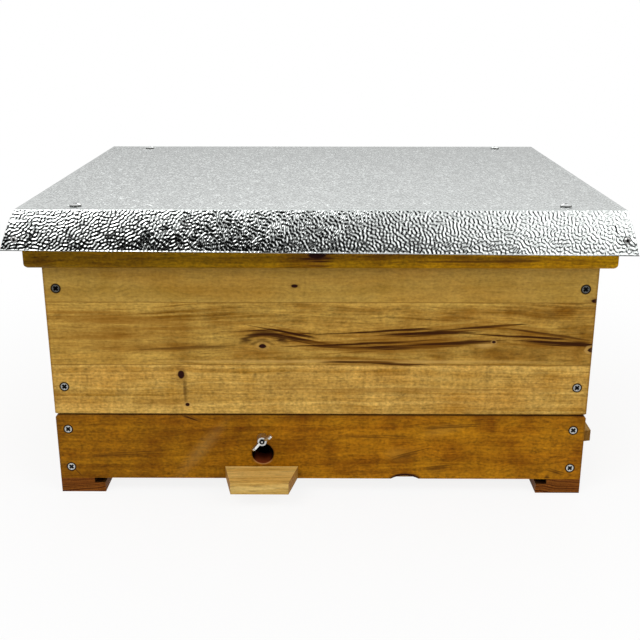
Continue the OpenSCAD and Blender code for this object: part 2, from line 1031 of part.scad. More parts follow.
module roof_screw_hole() {
    translate([0, 0, -roof_screw_l]) cylinder(d = roof_screw_d + 2 * screw_gap, h = roof_screw_l + over);
}

module lid_panel() {
    x = half_w + rim_out + panel_over;
    y = half_d + rim_out + panel_over;
    color(raw_wood) {
        difference() {
            span([-x, -y, panel_z], [x, y, sheet_z]);
            at_roof_screws() roof_screw_hole();
        }
    }
}

module lid_foam() {
    x = half_w + rim_in - foam_gap;
    y = half_d + rim_in - foam_gap;
    color(foam) span([-x, -y, cover_top], [x, y, panel_z]);
}

// A flared block that the roof sheet is cut from; half is its half width at the top.
module flare_outline(half, top) {
    run = skirt_flare * (top - skirt_z) / skirt_h;
    polygon([[-half - run, skirt_z], [half + run, skirt_z], [half, top], [-half, top]]);
}

module flare_block(half_x, half_y, top) {
    intersection() {
        translate([0, reach / 2, 0]) rotate([90, 0, 0]) linear_extrude(reach) flare_outline(half_x, top);
        translate([-reach / 2, 0, 0]) rotate([90, 0, 90]) linear_extrude(reach) flare_outline(half_y, top);
    }
}

// The sheet's inside: the outer block moved in by the sheet's thickness.
module roof_inside() {
    lift = skirt_flare * sheet_t / skirt_h;
    inset = roof_over - skirt_run + lift;
    translate([0, 0, -eps]) flare_block(half_w + inset, half_d + inset, sheet_z + eps);
}

// Folded corner tabs, one sheet thicker than the skirt, on the front and the back.
module corner_tabs() {
    x = half_w + roof_over + skirt_flare - tab_w;
    intersection() {
        flare_block(half_w + roof_over, half_d + roof_over + skirt_run, sheet_z + sheet_t);
        for (side = [-1, 1]) {
            span(
                [side > 0 ? x : -reach, -reach, skirt_z + tab_z],
                [side > 0 ? reach : -x, reach, skirt_z + tab_z + tab_h]
            );
        }
    }
}

// Places children on the skirt's four corners, square to the sheet.
module at_corner_screws() {
    for (turn = [0, 180], side = [-1, 1]) {
        rotate([0, 0, turn]) {
            translate([
                side * (half_w + corner_over - corner_in), -half_d - corner_over, skirt_z + corner_z
            ]) {
                rotate([90 - skirt_lean, 0, 0]) children();
            }
        }
    }
}

module roof_sheet() {
    color(roof_grey) {
        difference() {
            union() {
                flare_block(half_w + roof_over, half_d + roof_over, sheet_z + sheet_t);
                corner_tabs();
            }
            roof_inside();
            at_roof_screws() roof_screw_hole();
            at_corner_screws() {
                cylinder(d = roof_screw_d + 2 * screw_gap, h = 2 * corner_screw_l, center = true);
            }
        }
    }
}

// A low domed screw whose head rests on the sheet.
module dome_screw(head_d, l) {
    difference() {
        union() {
            dome_head(head_d, roof_head_h);
            translate([0, 0, -l]) cylinder(d = roof_screw_d, h = l + eps);
        }
        cross_slots(head_d * dome_cross, roof_head_h);
    }
}

module roof_screws() {
    color(steel) at_roof_screws() dome_screw(roof_head_d, roof_screw_l);
}

module corner_screws() {
    color(steel) at_corner_screws() dome_screw(corner_head_d, corner_screw_l);
}

floor_front_wall();
floor_back_wall();
floor_left_wall();
floor_right_wall();
floor_dividers();
left_runner();
right_runner();
floor_grid();
front_landing();
right_landing();
back_landing();
left_landing();
floor_screws();
bottom_board();
front_gate();
right_gate();
back_gate();
left_gate();
front_bolt();
right_bolt();
back_bolt();
left_bolt();
front_wing_nut();
right_wing_nut();
back_wing_nut();
left_wing_nut();
body_front_wall();
body_back_wall();
body_left_wall();
body_right_wall();
body_divider_1();
body_divider_2();
body_divider_3();
body_screws();
chamber_cover_1();
chamber_cover_2();
chamber_cover_3();
chamber_cover_4();
frame_1a();
frame_1b();
frame_1c();
frame_2a();
frame_2b();
frame_2c();
frame_3a();
frame_3b();
frame_3c();
frame_4a();
frame_4b();
frame_4c();
lid_front_rim();
lid_back_rim();
lid_left_rim();
lid_right_rim();
lid_panel();
lid_foam();
roof_sheet();
roof_screws();
corner_screws();
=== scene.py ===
"""Looks of a four-chamber nuc box: oiled and stained boards, an embossed metal roof and zinc screws.

Metres, in the frame of the solids: the front faces -Y, +Z is up, the ground is at Z = 0.
"""

import math

import bpy
import numpy as np
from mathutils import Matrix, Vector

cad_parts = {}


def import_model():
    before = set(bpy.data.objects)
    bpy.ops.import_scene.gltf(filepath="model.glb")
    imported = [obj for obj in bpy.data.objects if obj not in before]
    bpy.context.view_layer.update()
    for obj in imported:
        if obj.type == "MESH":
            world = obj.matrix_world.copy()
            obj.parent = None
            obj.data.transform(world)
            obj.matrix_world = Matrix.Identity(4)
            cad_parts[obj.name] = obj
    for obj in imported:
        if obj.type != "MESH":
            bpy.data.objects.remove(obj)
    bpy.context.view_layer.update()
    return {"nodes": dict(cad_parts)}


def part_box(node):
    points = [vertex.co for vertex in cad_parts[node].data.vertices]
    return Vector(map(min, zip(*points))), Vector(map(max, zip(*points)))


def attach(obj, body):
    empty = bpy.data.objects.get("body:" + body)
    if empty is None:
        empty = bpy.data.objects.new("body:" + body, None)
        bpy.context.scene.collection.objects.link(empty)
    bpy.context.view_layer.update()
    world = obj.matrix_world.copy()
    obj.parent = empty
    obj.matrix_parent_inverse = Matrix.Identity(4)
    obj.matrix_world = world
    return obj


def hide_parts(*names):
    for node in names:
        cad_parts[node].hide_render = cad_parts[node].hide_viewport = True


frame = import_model()
NODES = frame["nodes"]
MM = 0.001
SIDES = ("front", "right", "back", "left")


def srgb(red, green, blue):
    """A colour given as 0 to 255 on screen, as the linear colour that a shader takes."""
    parts = [c / 255 for c in (red, green, blue)]
    return tuple(c / 12.92 if c <= 0.04045 else ((c + 0.055) / 1.055) ** 2.4 for c in parts) + (1.0,)


class Field:
    """A number, vector or colour in a material's nodes; arithmetic on it adds Math nodes."""

    def __init__(self, graph, socket):
        self.graph = graph
        self.socket = socket

    def __add__(self, other):
        return self.graph.math("ADD", self, other)

    def __sub__(self, other):
        return self.graph.math("SUBTRACT", self, other)

    def __rsub__(self, other):
        return self.graph.math("SUBTRACT", other, self)

    def __mul__(self, other):
        return self.graph.math("MULTIPLY", self, other)

    def __pow__(self, other):
        return self.graph.math("POWER", self, other)

    def __abs__(self):
        return self.graph.math("ABSOLUTE", self)

    __radd__ = __add__
    __rmul__ = __mul__


class Graph:
    """A new material and short ways to add nodes to it."""

    def __init__(self, name):
        self.material = bpy.data.materials.new(name)
        self.material.use_nodes = True
        self.tree = self.material.node_tree
        self.shader = self.tree.nodes["Principled BSDF"]
        coordinates = self.add("ShaderNodeTexCoord")
        self.place = Field(self, coordinates.outputs["Object"])
        self.x, self.y, self.z = self.split(self.place)
        self.facing = self.split(Field(self, coordinates.outputs["Normal"]))

    def add(self, kind, **settings):
        node = self.tree.nodes.new(kind)
        for key, value in settings.items():
            setattr(node, key, value)
        return node

    def feed(self, socket, source):
        if isinstance(source, Field):
            self.tree.links.new(source.socket, socket)
        else:
            socket.default_value = source

    def math(self, operation, *sources):
        node = self.add("ShaderNodeMath", operation=operation)
        for socket, source in zip(node.inputs, sources):
            self.feed(socket, source)
        return Field(self, node.outputs[0])

    def split(self, vector):
        node = self.add("ShaderNodeSeparateXYZ")
        self.feed(node.inputs[0], vector)
        return [Field(self, socket) for socket in node.outputs]

    def vector(self, *parts):
        node = self.add("ShaderNodeCombineXYZ")
        for socket, source in zip(node.inputs, parts):
            self.feed(socket, source)
        return Field(self, node.outputs[0])

    def noise(self, vector, detail=2.0, rough=0.5, scale=1.0):
        node = self.add("ShaderNodeTexNoise")
        self.feed(node.inputs["Vector"], vector)
        node.inputs["Scale"].default_value = scale
        node.inputs["Detail"].default_value = detail
        node.inputs["Roughness"].default_value = rough
        return Field(self, node.outputs["Fac"])

    def smooth(self, value, low, high):
        """0 where value is at low, 1 where it is at high, with a soft step between."""
        node = self.add("ShaderNodeMapRange", interpolation_type="SMOOTHSTEP")
        self.feed(node.inputs["Value"], value)
        node.inputs["From Min"].default_value = low
        node.inputs["From Max"].default_value = high
        return Field(self, node.outputs["Result"])

    def length(self, *parts):
        total = parts[0] * parts[0]
        for part in parts[1:]:
            total = total + part * part
        return self.math("SQRT", total)

    def mix(self, share, first, second, blend="MIX"):
        node = self.add("ShaderNodeMix", data_type="RGBA", blend_type=blend)
        self.feed(node.inputs[0], share)
        self.feed(node.inputs[6], first)
        self.feed(node.inputs[7], second)
        return Field(self, node.outputs[2])

    def shade(self, colour, amount):
        """The colour times a number around 1."""
        return self.mix(1.0, colour, self.vector(amount, amount, amount), "MULTIPLY")

    def bump(self, height, depth, strength=1.0):
        node = self.add("ShaderNodeBump")
        node.inputs["Strength"].default_value = strength
        node.inputs["Distance"].default_value = depth
        self.feed(node.inputs["Height"], height)
        return Field(self, node.outputs["Normal"])

    def finish(self, colour, rough, normal=None, metal=0.0, specular=0.5):
        self.feed(self.shader.inputs["Base Color"], colour)
        self.feed(self.shader.inputs["Roughness"], rough)
        self.shader.inputs["Metallic"].default_value = metal
        self.shader.inputs["Specular IOR Level"].default_value = specular
        if normal:
            self.feed(self.shader.inputs["Normal"], normal)
        return self.material


# Wood

# Waves per metre along and across the grain, for each part of the figure
SWAY = (3.2, 7.0)
DRIFT = (12.0, 36.0)
CURL = (34.0, 26.0)
RIPPLE = (26.0, 22.0)
FIBRE = (45.0, 400.0)
FLECK = (230.0, 60.0)
PATCH = (9.0, 40.0)
PORE = (75.0, 640.0)
GRIT = (330.0, 430.0)
STRAND = (11.0, 430.0)
DRIFT_REACH = 8 * MM
RELIEF = 0.3 * MM
SEAM_HALF = 0.7 * MM
COUNTERSINK_R = 4.1 * MM
COUNTERSINK_EDGE = 5.4 * MM
HOLE_R = 10.55 * MM
BURN_R = 12.8 * MM
LIP_R = 11.3 * MM


class Wood(Graph):
    """A board's material: s runs along the grain, v and u run across it.

    Pitch is in rings per metre, flow and pith are in metres and ripple is in millimetres. Pith is the middle
    of the rings in v and u. The other settings are the strengths of the parts of the figure.
    """

    def __init__(self, name, along, seed, pitch=150.0, flow=0.03, pith=(0.12, -0.1), figure=0.5,
                 banding=1.3, lining=1.2, fibre=1.2, pores=0.3, ripple=6.0, grit=0.3):
        super().__init__(name)
        ways = {"X": (self.x, self.z, self.y), "Y": (self.y, self.z, self.x)}
        self.s, self.v, self.u = ways[along]
        self.end = self.smooth(abs(self.facing["XYZ".index(along)]), 0.6, 0.9)
        self.seed = seed
        self.pitch = pitch
        self.flow = flow
        self.pith = pith
        self.figure = figure
        self.banding = banding
        self.lining = lining
        self.fibre = fibre
        self.pores = pores
        self.ripple = ripple
        self.grit = grit
        self.bend = 0.0

    def figure_noise(self, along, across, detail=2.0, rough=0.55):
        """Noise that is stretched by different amounts along and across the grain."""
        place = self.vector(self.s * along, self.v * across, self.u * across + self.seed)
        return self.noise(place, detail, rough)

    def off(self, at, reach):
        """How far a place is from a mark's middle, along and across the grain, in the mark's half sizes."""
        places = zip((self.s, self.v), at, reach)
        return [(place - middle * MM) * (1 / (half * MM)) for place, middle, half in places]

    def swell(self, at, reach, amount):
        """Parts the grain lines round a knot."""
        ds, dv = self.off(at, reach)
        near = self.math("EXPONENT", (ds * ds + dv * dv) * -1.0)
        self.bend = dv * near * (-amount * reach[1] * MM) + self.bend

    def grain(self, tones, flecks=0.1):
        """Sets the colour and the relief of planed wood, from its rings, fibres and figure."""
        sway = (self.figure_noise(*SWAY, 1.0) - 0.5) * self.flow
        drift = (self.figure_noise(*DRIFT, 1.0) - 0.5) * DRIFT_REACH
        rise = self.v + sway + drift + self.bend - self.pith[0]
        rings = self.length(rise, self.u - self.pith[1]) * self.pitch
        bands = self.noise(self.vector(rings * 0.8, self.s * 1.6, self.seed), 1.0, 0.6) - 0.5
        lines = self.noise(self.vector(rings * 4.5, self.s * 7.0, self.seed + 7.0), 3.0, 0.7) - 0.5
        late = self.math("FRACT", rings + lines) ** 3.0
        curl = self.figure_noise(*CURL, 2.5) - 0.5
        ripple = (self.figure_noise(*RIPPLE, 1.0) - 0.5) * (self.ripple * MM)
        across = self.u * FIBRE[1] + self.seed
        strand = self.vector(self.s * FIBRE[0], (self.v + ripple) * FIBRE[1], across)
        fibre = self.noise(strand, 4.0, 0.75) - 0.5
        fleck = self.figure_noise(*FLECK, 2.5, 0.6) - 0.5
        patch = self.smooth(self.figure_noise(*PATCH, 2.0), 0.42, 0.7)
        pores = self.smooth(self.figure_noise(*PORE, 2.0), 0.56, 0.7)
        grit = self.figure_noise(*GRIT, 1.0) - 0.5
        share = bands * self.banding + (lines + late * 0.13) * self.lining + curl * self.figure + 0.47
        self.colour = self.mix(self.smooth(share, 0.2, 0.85), *tones)
        tone = fibre * self.fibre + curl * (self.figure * 0.6) + fleck * flecks - pores * self.pores
        self.colour = self.shade(self.colour, tone + grit * self.grit + 1.02)
        self.paint(patch * 0.35, self.mix(1.0, self.colour, WARM, "MULTIPLY"))
        self.relief = fibre * 0.5 + lines * 0.5
        self.lines = lines

    def blot(self, at, reach, tilt=0.0, core=0.35, ragged=0.5):
        """1 inside an oval mark and 0 outside it, with an edge that is ragged along the grain."""
        ds = self.s - at[0] * MM
        dv = self.v - at[1] * MM - ds * tilt
        far = self.length(ds * (1 / (reach[0] * MM)), dv * (1 / (reach[1] * MM)))
        strands = self.noise(self.vector(ds * STRAND[0], dv * STRAND[1], self.seed), 2.0, 0.6) - 0.5
        return self.smooth(far + strands * ragged, 1.0, core)

    def paint(self, mask, colour):
        self.colour = self.mix(mask, self.colour, colour)

    def warm(self, at, reach, tilt=0.0, strength=0.5):
        """A band of warmer wood along the grain."""
        self.paint(self.blot(at, reach, tilt, 0.1, 2.0) * strength, WARM_STREAK)

    def streak(self, at, reach, tilt=0.0, strength=0.8):
        """A dark mineral streak along the grain, in a wider band of warmer wood."""
        self.warm(at, (reach[0] * 1.2, reach[1] * 2.6), tilt, strength * 0.8)
        self.paint(self.blot(at, reach, tilt, 0.2, 6.0) * strength, DARK_STREAK)

    def knot(self, at, reach, pale=0.0):
        """A dark knot in a ring of brown wood, with a pale ring between where pale is above 0."""
        wide = (reach[0] * 2.1, reach[1] * 2.1)
        self.paint(self.blot(at, wide, 0.0, 0.3, 1.0) * 0.45, KNOT_RING)
        if pale:
            self.paint(self.blot(at, (wide[0] * 0.8, wide[1] * 0.8), 0.0, 0.8) * pale, PALE_WOOD)
        self.paint(self.blot(at, reach, 0.0, 0.7), KNOT_CORE)

    def arch(self, at, reach, strength):
        """A dark line of grain that arches over a knot."""
        ds, dv = self.off(at, reach)
        strands = self.figure_noise(*STRAND, 2.0, 0.6) - 0.5
        line = self.smooth(abs(self.length(ds, dv) + strands * 0.6 - 1.0), 0.3, 0.05)
        self.paint(line * self.smooth(dv, 0.1, 0.5) * strength, DARK_STREAK)

    def seam(self, height):
        """A thin glue line between two strips of the board."""
        self.paint(self.smooth(abs(self.v - height * MM), SEAM_HALF, 0.2 * MM) * 0.5, GLUE_LINE)

    def countersink_shade(self, places):
        """Painted shade in the countersunk edges round the screw heads."""
        for at in places:
            far = self.length(self.s - at[0] * MM, self.v - at[1] * MM)
            self.paint(self.smooth(far, COUNTERSINK_EDGE, COUNTERSINK_R), COUNTERSINK_SHADE)

    def entrance(self, centre):
        """The burnt edge of an entrance hole, a painted highlight on its lower lip, and its inner wall
        painted dark as shade above and reddish below.
        """
        rise = self.v - centre[1] * MM
        far = self.length(self.s - centre[0] * MM, rise)
        self.paint(self.smooth(far, BURN_R, HOLE_R) * 0.5, BURNT)
        # painted highlight on the hole's lower lip
        lip = self.smooth(abs(far - LIP_R), 1.0 * MM, 0.3 * MM) * self.smooth(rise, -5 * MM, -10 * MM)
        self.paint(lip * 0.6, HOLE_LIP_HIGHLIGHT)
        # the hole's inner wall: painted shade above, its own reddish wood below
        inside = self.mix(self.smooth(rise, -4 * MM, -10 * MM), HOLE_SHADE, HOLE_RED)
        self.paint(self.smooth(far, HOLE_R + 0.2 * MM, HOLE_R), inside)

    def board_end(self, half):
        """Boards take more oil at their sawn ends."""
        self.paint(self.smooth(abs(self.s), (half - 2.6) * MM, (half - 0.4) * MM) * 0.45, GLUE_LINE)

    def done(self, end_tone, rough=0.55, specular=0.06):
        """Tints the end grain and finishes the shader."""
        self.paint(self.end, self.mix(1.0, self.colour, end_tone, "MULTIPLY"))
        normal = self.bump(self.relief, RELIEF, 0.4)
        return self.finish(self.colour, self.lines * 0.15 + rough, normal, specular=specular)


# Boards

WARM = srgb(250, 226, 190)
DARK_STREAK = srgb(46, 16, 0)
WARM_STREAK = srgb(130, 84, 16)
GOLD = srgb(180, 130, 42)
KNOT_RING = srgb(96, 56, 16)
KNOT_CORE = srgb(40, 14, 8)
GLUE_LINE = srgb(104, 70, 22)
PALE_WOOD = srgb(206, 166, 92)
# painted shade round the countersunk screw heads
COUNTERSINK_SHADE = srgb(40, 24, 8)
BURNT = srgb(70, 36, 6)
HOLE_SHADE = srgb(10, 6, 4)
HOLE_RED = srgb(110, 46, 20)
HOLE_LIP_HIGHLIGHT = srgb(186, 136, 84)
# dark brown for the floor joint and the runner slots: painted shade with some dirt
JOINT_DIRT_AND_SHADE = srgb(22, 12, 4)

OILED_LOW = (srgb(198, 160, 82), srgb(140, 98, 24))
OILED_MID = (srgb(187, 150, 70), srgb(112, 74, 10))
OILED_TOP = (srgb(174, 140, 66), srgb(140, 106, 36))
STAINED = (srgb(166, 112, 14), srgb(96, 50, 0))
STAINED_DARK = (srgb(136, 88, 30), srgb(70, 32, 0))
OLIVE = (srgb(156, 116, 4), srgb(92, 58, 0))
RAW = (srgb(210, 178, 106), srgb(184, 146, 72))
# the raw landing tones darkened for the side landings, as painted shade
RAW_PAINTED_SHADE = (srgb(176, 142, 72), srgb(140, 106, 42))
BARE = (srgb(222, 192, 138), srgb(198, 160, 102))
PLY = (srgb(214, 182, 130), srgb(186, 148, 94))
END_OILED = srgb(206, 186, 160)
END_STAINED = srgb(180, 140, 120)
END_RUNNER = srgb(235, 215, 205)
END_PLY = srgb(235, 225, 210)
WAX_DARK, WAX_LIGHT = srgb(196, 140, 44), srgb(236, 190, 92)
FOAM_DARK, FOAM_LIGHT = srgb(206, 210, 214), srgb(238, 240, 242)
PLASTIC_DARK, PLASTIC_LIGHT = srgb(34, 34, 36), srgb(58, 58, 60)

# Places on the boards, in mm
SEAMS = (133.6, 195.0)
SCREW_S = 243
BODY_SCREW_Z = (111, 208)
FLOOR_SCREW_Z = (27, 67)
BODY_SCREWS = [(side * SCREW_S, z) for side in (-1, 1) for z in BODY_SCREW_Z]
FLOOR_SCREWS = [(side * SCREW_S, z) for side in (-1, 1) for z in FLOOR_SCREW_Z]
HALF_W, HALF_D = 254, 190
HOLE_Z = 42
FRONT_HOLE, END_HOLE = 55.7, 75.0
FLAW = (82.6, 15)
JOINT_Z = (80.6, 82.0)
SLOT_HALF, SLOT_Z = 221.2, 10.0

# The figure of the stained floor and of the lid's front rim
FLOOR_FIGURE = {"pitch": 170.0, "flow": 0.035, "pith": (0.13, -0.12), "figure": 0.8, "banding": 0.5,
                "lining": 0.4, "fibre": 1.5, "pores": 0.12, "ripple": 20.0, "grit": 1.1}
RIM_FIGURE = {"pitch": 210.0, "flow": 0.02, "pith": (0.31, -0.12), "figure": 0.8, "banding": 0.8,
              "lining": 0.5, "fibre": 1.5, "pores": 0.2, "ripple": 10.0, "grit": 1.2}

# Warm bands on the front of the hive body, in mm: place (X, Z), half size, strength
BODY_SHADES = [((-200, 165), (120, 30), 0.4), ((-200, 178), (90, 7), 0.6), ((-235, 186), (60, 4), 0.5),
               ((-215, 162), (70, 5), 0.5), ((-190, 150), (90, 4), 0.4), ((-150, 170), (70, 3), 0.45),
               ((-152, 95), (34, 8), 0.35), ((-24, 116), (50, 14), 0.25), ((75, 108.5), (190, 4), 0.5),
               ((-90, 176), (80, 3), 0.35), ((80, 159), (110, 7), 0.3), ((-60, 146), (50, 4), 0.35)]
# Pale patches there: place, half size, how far in the edge is soft
BODY_PALE = [((154, 154), (14, 5), 0.1), ((30, 137), (240, 2.6), 0.2)]
# Mineral streaks there: place, half size, tilt, strength
BODY_STREAKS = [((-52, 164.4), (26, 3.2), 0.03, 0.9), ((-26, 161.5), (26, 5.6), -0.2, 0.95),
                ((6, 152.6), (36, 2.6), -0.04, 0.9), ((78, 165.2), (62, 4.2), 0.055, 0.95),
                ((58, 152.4), (80, 4.6), 0.04, 0.95), ((104, 155.2), (60, 2.6), 0.06, 0.9),
                ((138, 171), (38, 1.9), 0.08, 0.85), ((192, 168), (48, 1.9), -0.15, 0.75),
                ((206, 157.8), (60, 4.2), -0.06, 0.95), ((20, 137.2), (34, 2.0), 0.0, 0.85),
                ((62, 135.6), (40, 2.0), -0.05, 0.85), ((-150, 150), (66, 2.0), 0.05, 0.5)]
# Grain that parts round the knots there: place, half size, amount
BODY_SWELLS = [((-54, 155), (24, 10), 0.8), ((-131, 124), (12, 10), 0.7), ((162, 157), (14, 7), 0.6)]
# Dark arches over the largest knot there: place, half size, strength
BODY_ARCHES = [((-52, 152), (20, 12.5), 0.8), ((-54, 151), (10, 7), 0.5)]
# Knots there: place, half size, strength of the pale ring
BODY_KNOTS = [((-23.6, 210.8), (3.6, 1.9), 0.0), ((-54, 152.4), (4.0, 2.6), 0.2),
              ((-131.5, 123.7), (3.6, 5.0), 0.0), ((-126.7, 93), (2.4, 2.0), 0.3),
              ((161.8, 156.9), (2.0, 1.6), 0.3), ((254, 149.2), (5.0, 3.0), 0.4),
              ((254, 197), (6.0, 2.4), 0.0)]
# Golden patches on the floor's front: place, half size, tilt
FLOOR_GOLD = [((116, 66), (28, 9), 0.2), ((74, 42), (18, 10), 0.0)]
# Mineral streaks there: place, half size, tilt, strength
FLOOR_STREAKS = [((-124, 78.8), (10, 1.4), -0.35, 0.9), ((-236.5, 21), (5.5, 1.0), -1.2, 0.7),
                 ((84, 40.5), (16, 4.5), 0.27, 0.55),
                 ((113.7, 26.7), (14, 4), 0.1, 0.55), ((221.4, 17.4), (3, 1.4), 0.0, 0.8),
                 ((228.8, 22.8), (9, 2.2), -0.3, 0.6), ((120, 70), (34, 1.8), 0.05, 0.5),
                 ((-200, 40), (40, 2.4), 0.05, 0.4), ((40, 60), (50, 1.6), -0.04, 0.4)]


class BodyWall(Wood):
    """A board of the hive body, glued up from three strips that differ in tone and grain."""

    def __init__(self, name, along, seed):
        super().__init__(name, along, seed)
        self.above = [self.math("GREATER_THAN", self.v, height * MM) for height in SEAMS]
        self.pith = (self.by_strip(-0.06, 0.150, 0.300), -0.13)
        self.pitch = self.by_strip(240.0, 130.0, 90.0)
        self.flow = self.by_strip(0.012, 0.034, 0.026)
        self.figure = self.by_strip(0.5, 0.7, 0.6)
        self.banding = self.by_strip(0.7, 0.9, 0.5)
        self.lining = self.by_strip(0.5, 1.0, 0.3)
        self.fibre = self.by_strip(1.1, 1.3, 0.8)
        self.ripple = self.by_strip(5.0, 10.0, 18.0)
        self.grit = self.by_strip(1.1, 0.8, 0.6)
        self.pores = self.by_strip(0.15, 0.25, 0.08)
        self.flecks = self.by_strip(0.7, 0.3, 0.3)
        self.seed = self.by_strip(seed, seed + 40.0, seed + 80.0)

    def by_strip(self, low, middle, top):
        return self.above[0] * (middle - low) + self.above[1] * (top - middle) + low

    def tones(self):
        """The light and the dark tone of the strip that a place is in."""
        lower = [self.mix(self.above[0], *pair) for pair in zip(OILED_LOW, OILED_MID)]
        return [self.mix(self.above[1], *pair) for pair in zip(lower, OILED_TOP)]

    def finish_wall(self, half, screws=()):
        for height in SEAMS:
            self.seam(height)
        self.board_end(half)
        self.countersink_shade(screws)
        return self.done(END_OILED)


def body_front():
    wall = BodyWall("body_front_wood", "X", 3.0)
    for swell in BODY_SWELLS:
        wall.swell(*swell)
    wall.grain(wall.tones(), wall.flecks)
    for at, reach, strength in BODY_SHADES:
        wall.warm(at, reach, 0.0, strength)
    for at, reach, core in BODY_PALE:
        wall.paint(wall.blot(at, reach, 0.0, core) * 0.5, PALE_WOOD)
    for streak in BODY_STREAKS:
        wall.streak(*streak)
    between_knots = wall.blot((-128.5, 108), (2.6, 18), 0.0, 0.2, 1.2)
    wall.paint(between_knots * 0.55, DARK_STREAK)
    for arch in BODY_ARCHES:
        wall.arch(*arch)
    for knot in BODY_KNOTS:
        wall.knot(*knot)
    return wall.finish_wall(HALF_W, BODY_SCREWS)


def body_back():
    wall = BodyWall("body_back_wood", "X", 11.0)
    wall.swell((96, 170), (20, 10), 0.8)
    wall.grain(wall.tones(), wall.flecks)
    wall.streak((40, 164), (70, 2.4), 0.04, 0.7)
    wall.streak((-120, 152), (80, 2.0), -0.03, 0.7)
    wall.knot((96, 170), (4.0, 3.0))
    wall.knot((-60, 112), (2.6, 2.0))
    return wall.finish_wall(HALF_W, BODY_SCREWS)


def body_side():
    wall = BodyWall("body_side_wood", "Y", 17.0)
    wall.swell((48, 118), (16, 9), 0.8)
    wall.grain(wall.tones(), wall.flecks)
    wall.streak((-60, 160), (60, 2.2), 0.05, 0.7)
    wall.knot((48, 118), (3.4, 2.8))
    return wall.finish_wall(HALF_D)


def floor_joint_shade_and_stain(wall):
    """Painted shade and dark stain in the joint between the floor and the hive body."""
    # painted shade with dark stain on the upper part of the bevel
    wall.paint(wall.smooth(wall.z, JOINT_Z[0] * MM, JOINT_Z[1] * MM) * 0.9, JOINT_DIRT_AND_SHADE)


def floor_front():
    wall = Wood("floor_front_wood", "X", 23.0, **FLOOR_FIGURE)
    wall.swell((115, 67), (26, 12), 0.9)
    wall.swell((229, 22), (10, 8), 0.8)
    wall.grain(STAINED, 0.5)
    paler_right = wall.smooth(wall.x, -0.22, 0.15) * 0.2
    wall.colour = wall.shade(wall.colour, paler_right + 0.84)
    for at, reach, tilt in FLOOR_GOLD:
        wall.paint(wall.blot(at, reach, tilt, 0.0, 1.0) * 0.4, GOLD)
    rubbed = wall.blot((-116, 45), (34, 16), 1.1, 0.0)
    wall.paint(rubbed * 0.16, PALE_WOOD)
    wall.paint(wall.blot(FLAW, (17, 7), 0.0, 0.7), KNOT_CORE)
    for streak in FLOOR_STREAKS:
        wall.streak(*streak)
    wall.entrance((-FRONT_HOLE, HOLE_Z))
    floor_joint_shade_and_stain(wall)
    wall.board_end(HALF_W)
    wall.countersink_shade(FLOOR_SCREWS)
    return wall.done(END_STAINED)


def floor_wall(name, along, seed, half, hole, screws=()):
    """A floor wall other than the front: half is its half length, and hole its entrance's place along it."""
    wall = Wood(name, along, seed, **FLOOR_FIGURE)
    knot = (half * 0.4, 50)
    wall.swell(knot, (22, 10), 0.8)
    wall.grain(STAINED, 0.5)
    wall.knot(knot, (3.0, 2.4))
    wall.entrance((hole, HOLE_Z))
    floor_joint_shade_and_stain(wall)
    wall.board_end(half)
    wall.countersink_shade(screws)
    return wall.done(END_STAINED)


def plain_board(name, along, tones, seed):
    board = Wood(name, along, seed)
    board.grain(tones)
    return board.done(END_OILED)


def landing(name, along, tones, seed):
    """A landing board with painted light: its top face is painted a little paler than its edges."""
    board = Wood(name, along, seed, 260.0, figure=0.3)
    board.grain(tones)
    # painted light: the upward face is made paler than the side faces
    painted_light_on_top = board.smooth(board.facing[2], 0.5, 0.9) * 0.19
    board.colour = board.shade(board.colour, painted_light_on_top + 0.93)
    return board.done(END_OILED)


def runner():
    """A runner: its ends show flat growth rings, and its slot is painted dark, as shade with some dust."""
    board = Wood("runner_wood", "Y", 35.0, 300.0, 0.01, (-2.0, 0.0), 0.5, lining=2.6)
    board.grain(STAINED_DARK, 0.2)
    # painted shade with some dust on the slot's floor and sides
    slot = board.smooth(abs(board.x), (SLOT_HALF + 0.2) * MM, SLOT_HALF * MM)
    slot = slot * board.smooth(board.z, (SLOT_Z - 0.2) * MM, SLOT_Z * MM)
    board.paint(slot * 0.85, JOINT_DIRT_AND_SHADE)
    return board.done(END_RUNNER)


def rim_front():
    rim = Wood("rim_front_wood", "X", 31.0, **RIM_FIGURE)
    rim.grain(OLIVE)
    paler_right = rim.smooth(rim.x, -0.2, 0.25) * 0.85
    rim.colour = rim.shade(rim.colour, paler_right + 0.76)
    rim.streak((-2.9, 241.0), (13, 7), 0.0, 1.0)
    rim.knot((-2.9, 243.5), (9, 4.5))
    rim.streak((150, 238), (90, 1.3), 0.01, 0.5)
    return rim.done(END_OILED)


PLY_LAYERS = 3


def plywood(name, low, high):
    """Plywood: plain faces and an edge of crossed layers between the heights low and high, in mm."""
    board = Wood(name, "Y", 53.0, 60.0, 0.05, (0.5, 0.1), 0.5)
    board.grain(PLY)
    level = (board.z - low * MM) * (PLY_LAYERS / ((high - low) * MM))
    layer = board.smooth(abs(board.math("FRACT", level + 0.5) - 0.5), 0.3, 0.42)
    edge = board.smooth(abs(board.facing[2]), 0.5, 0.2)
    board.paint(layer * edge * 0.6, KNOT_RING)
    return board.done(END_PLY, 0.65)


# The wax foundation inside a frame, in mm
WAX_HALF = 152.0
WAX_Z = (95.0, 235.0)
WAX_EDGE = 0.05
CELL_PITCH = 4.6


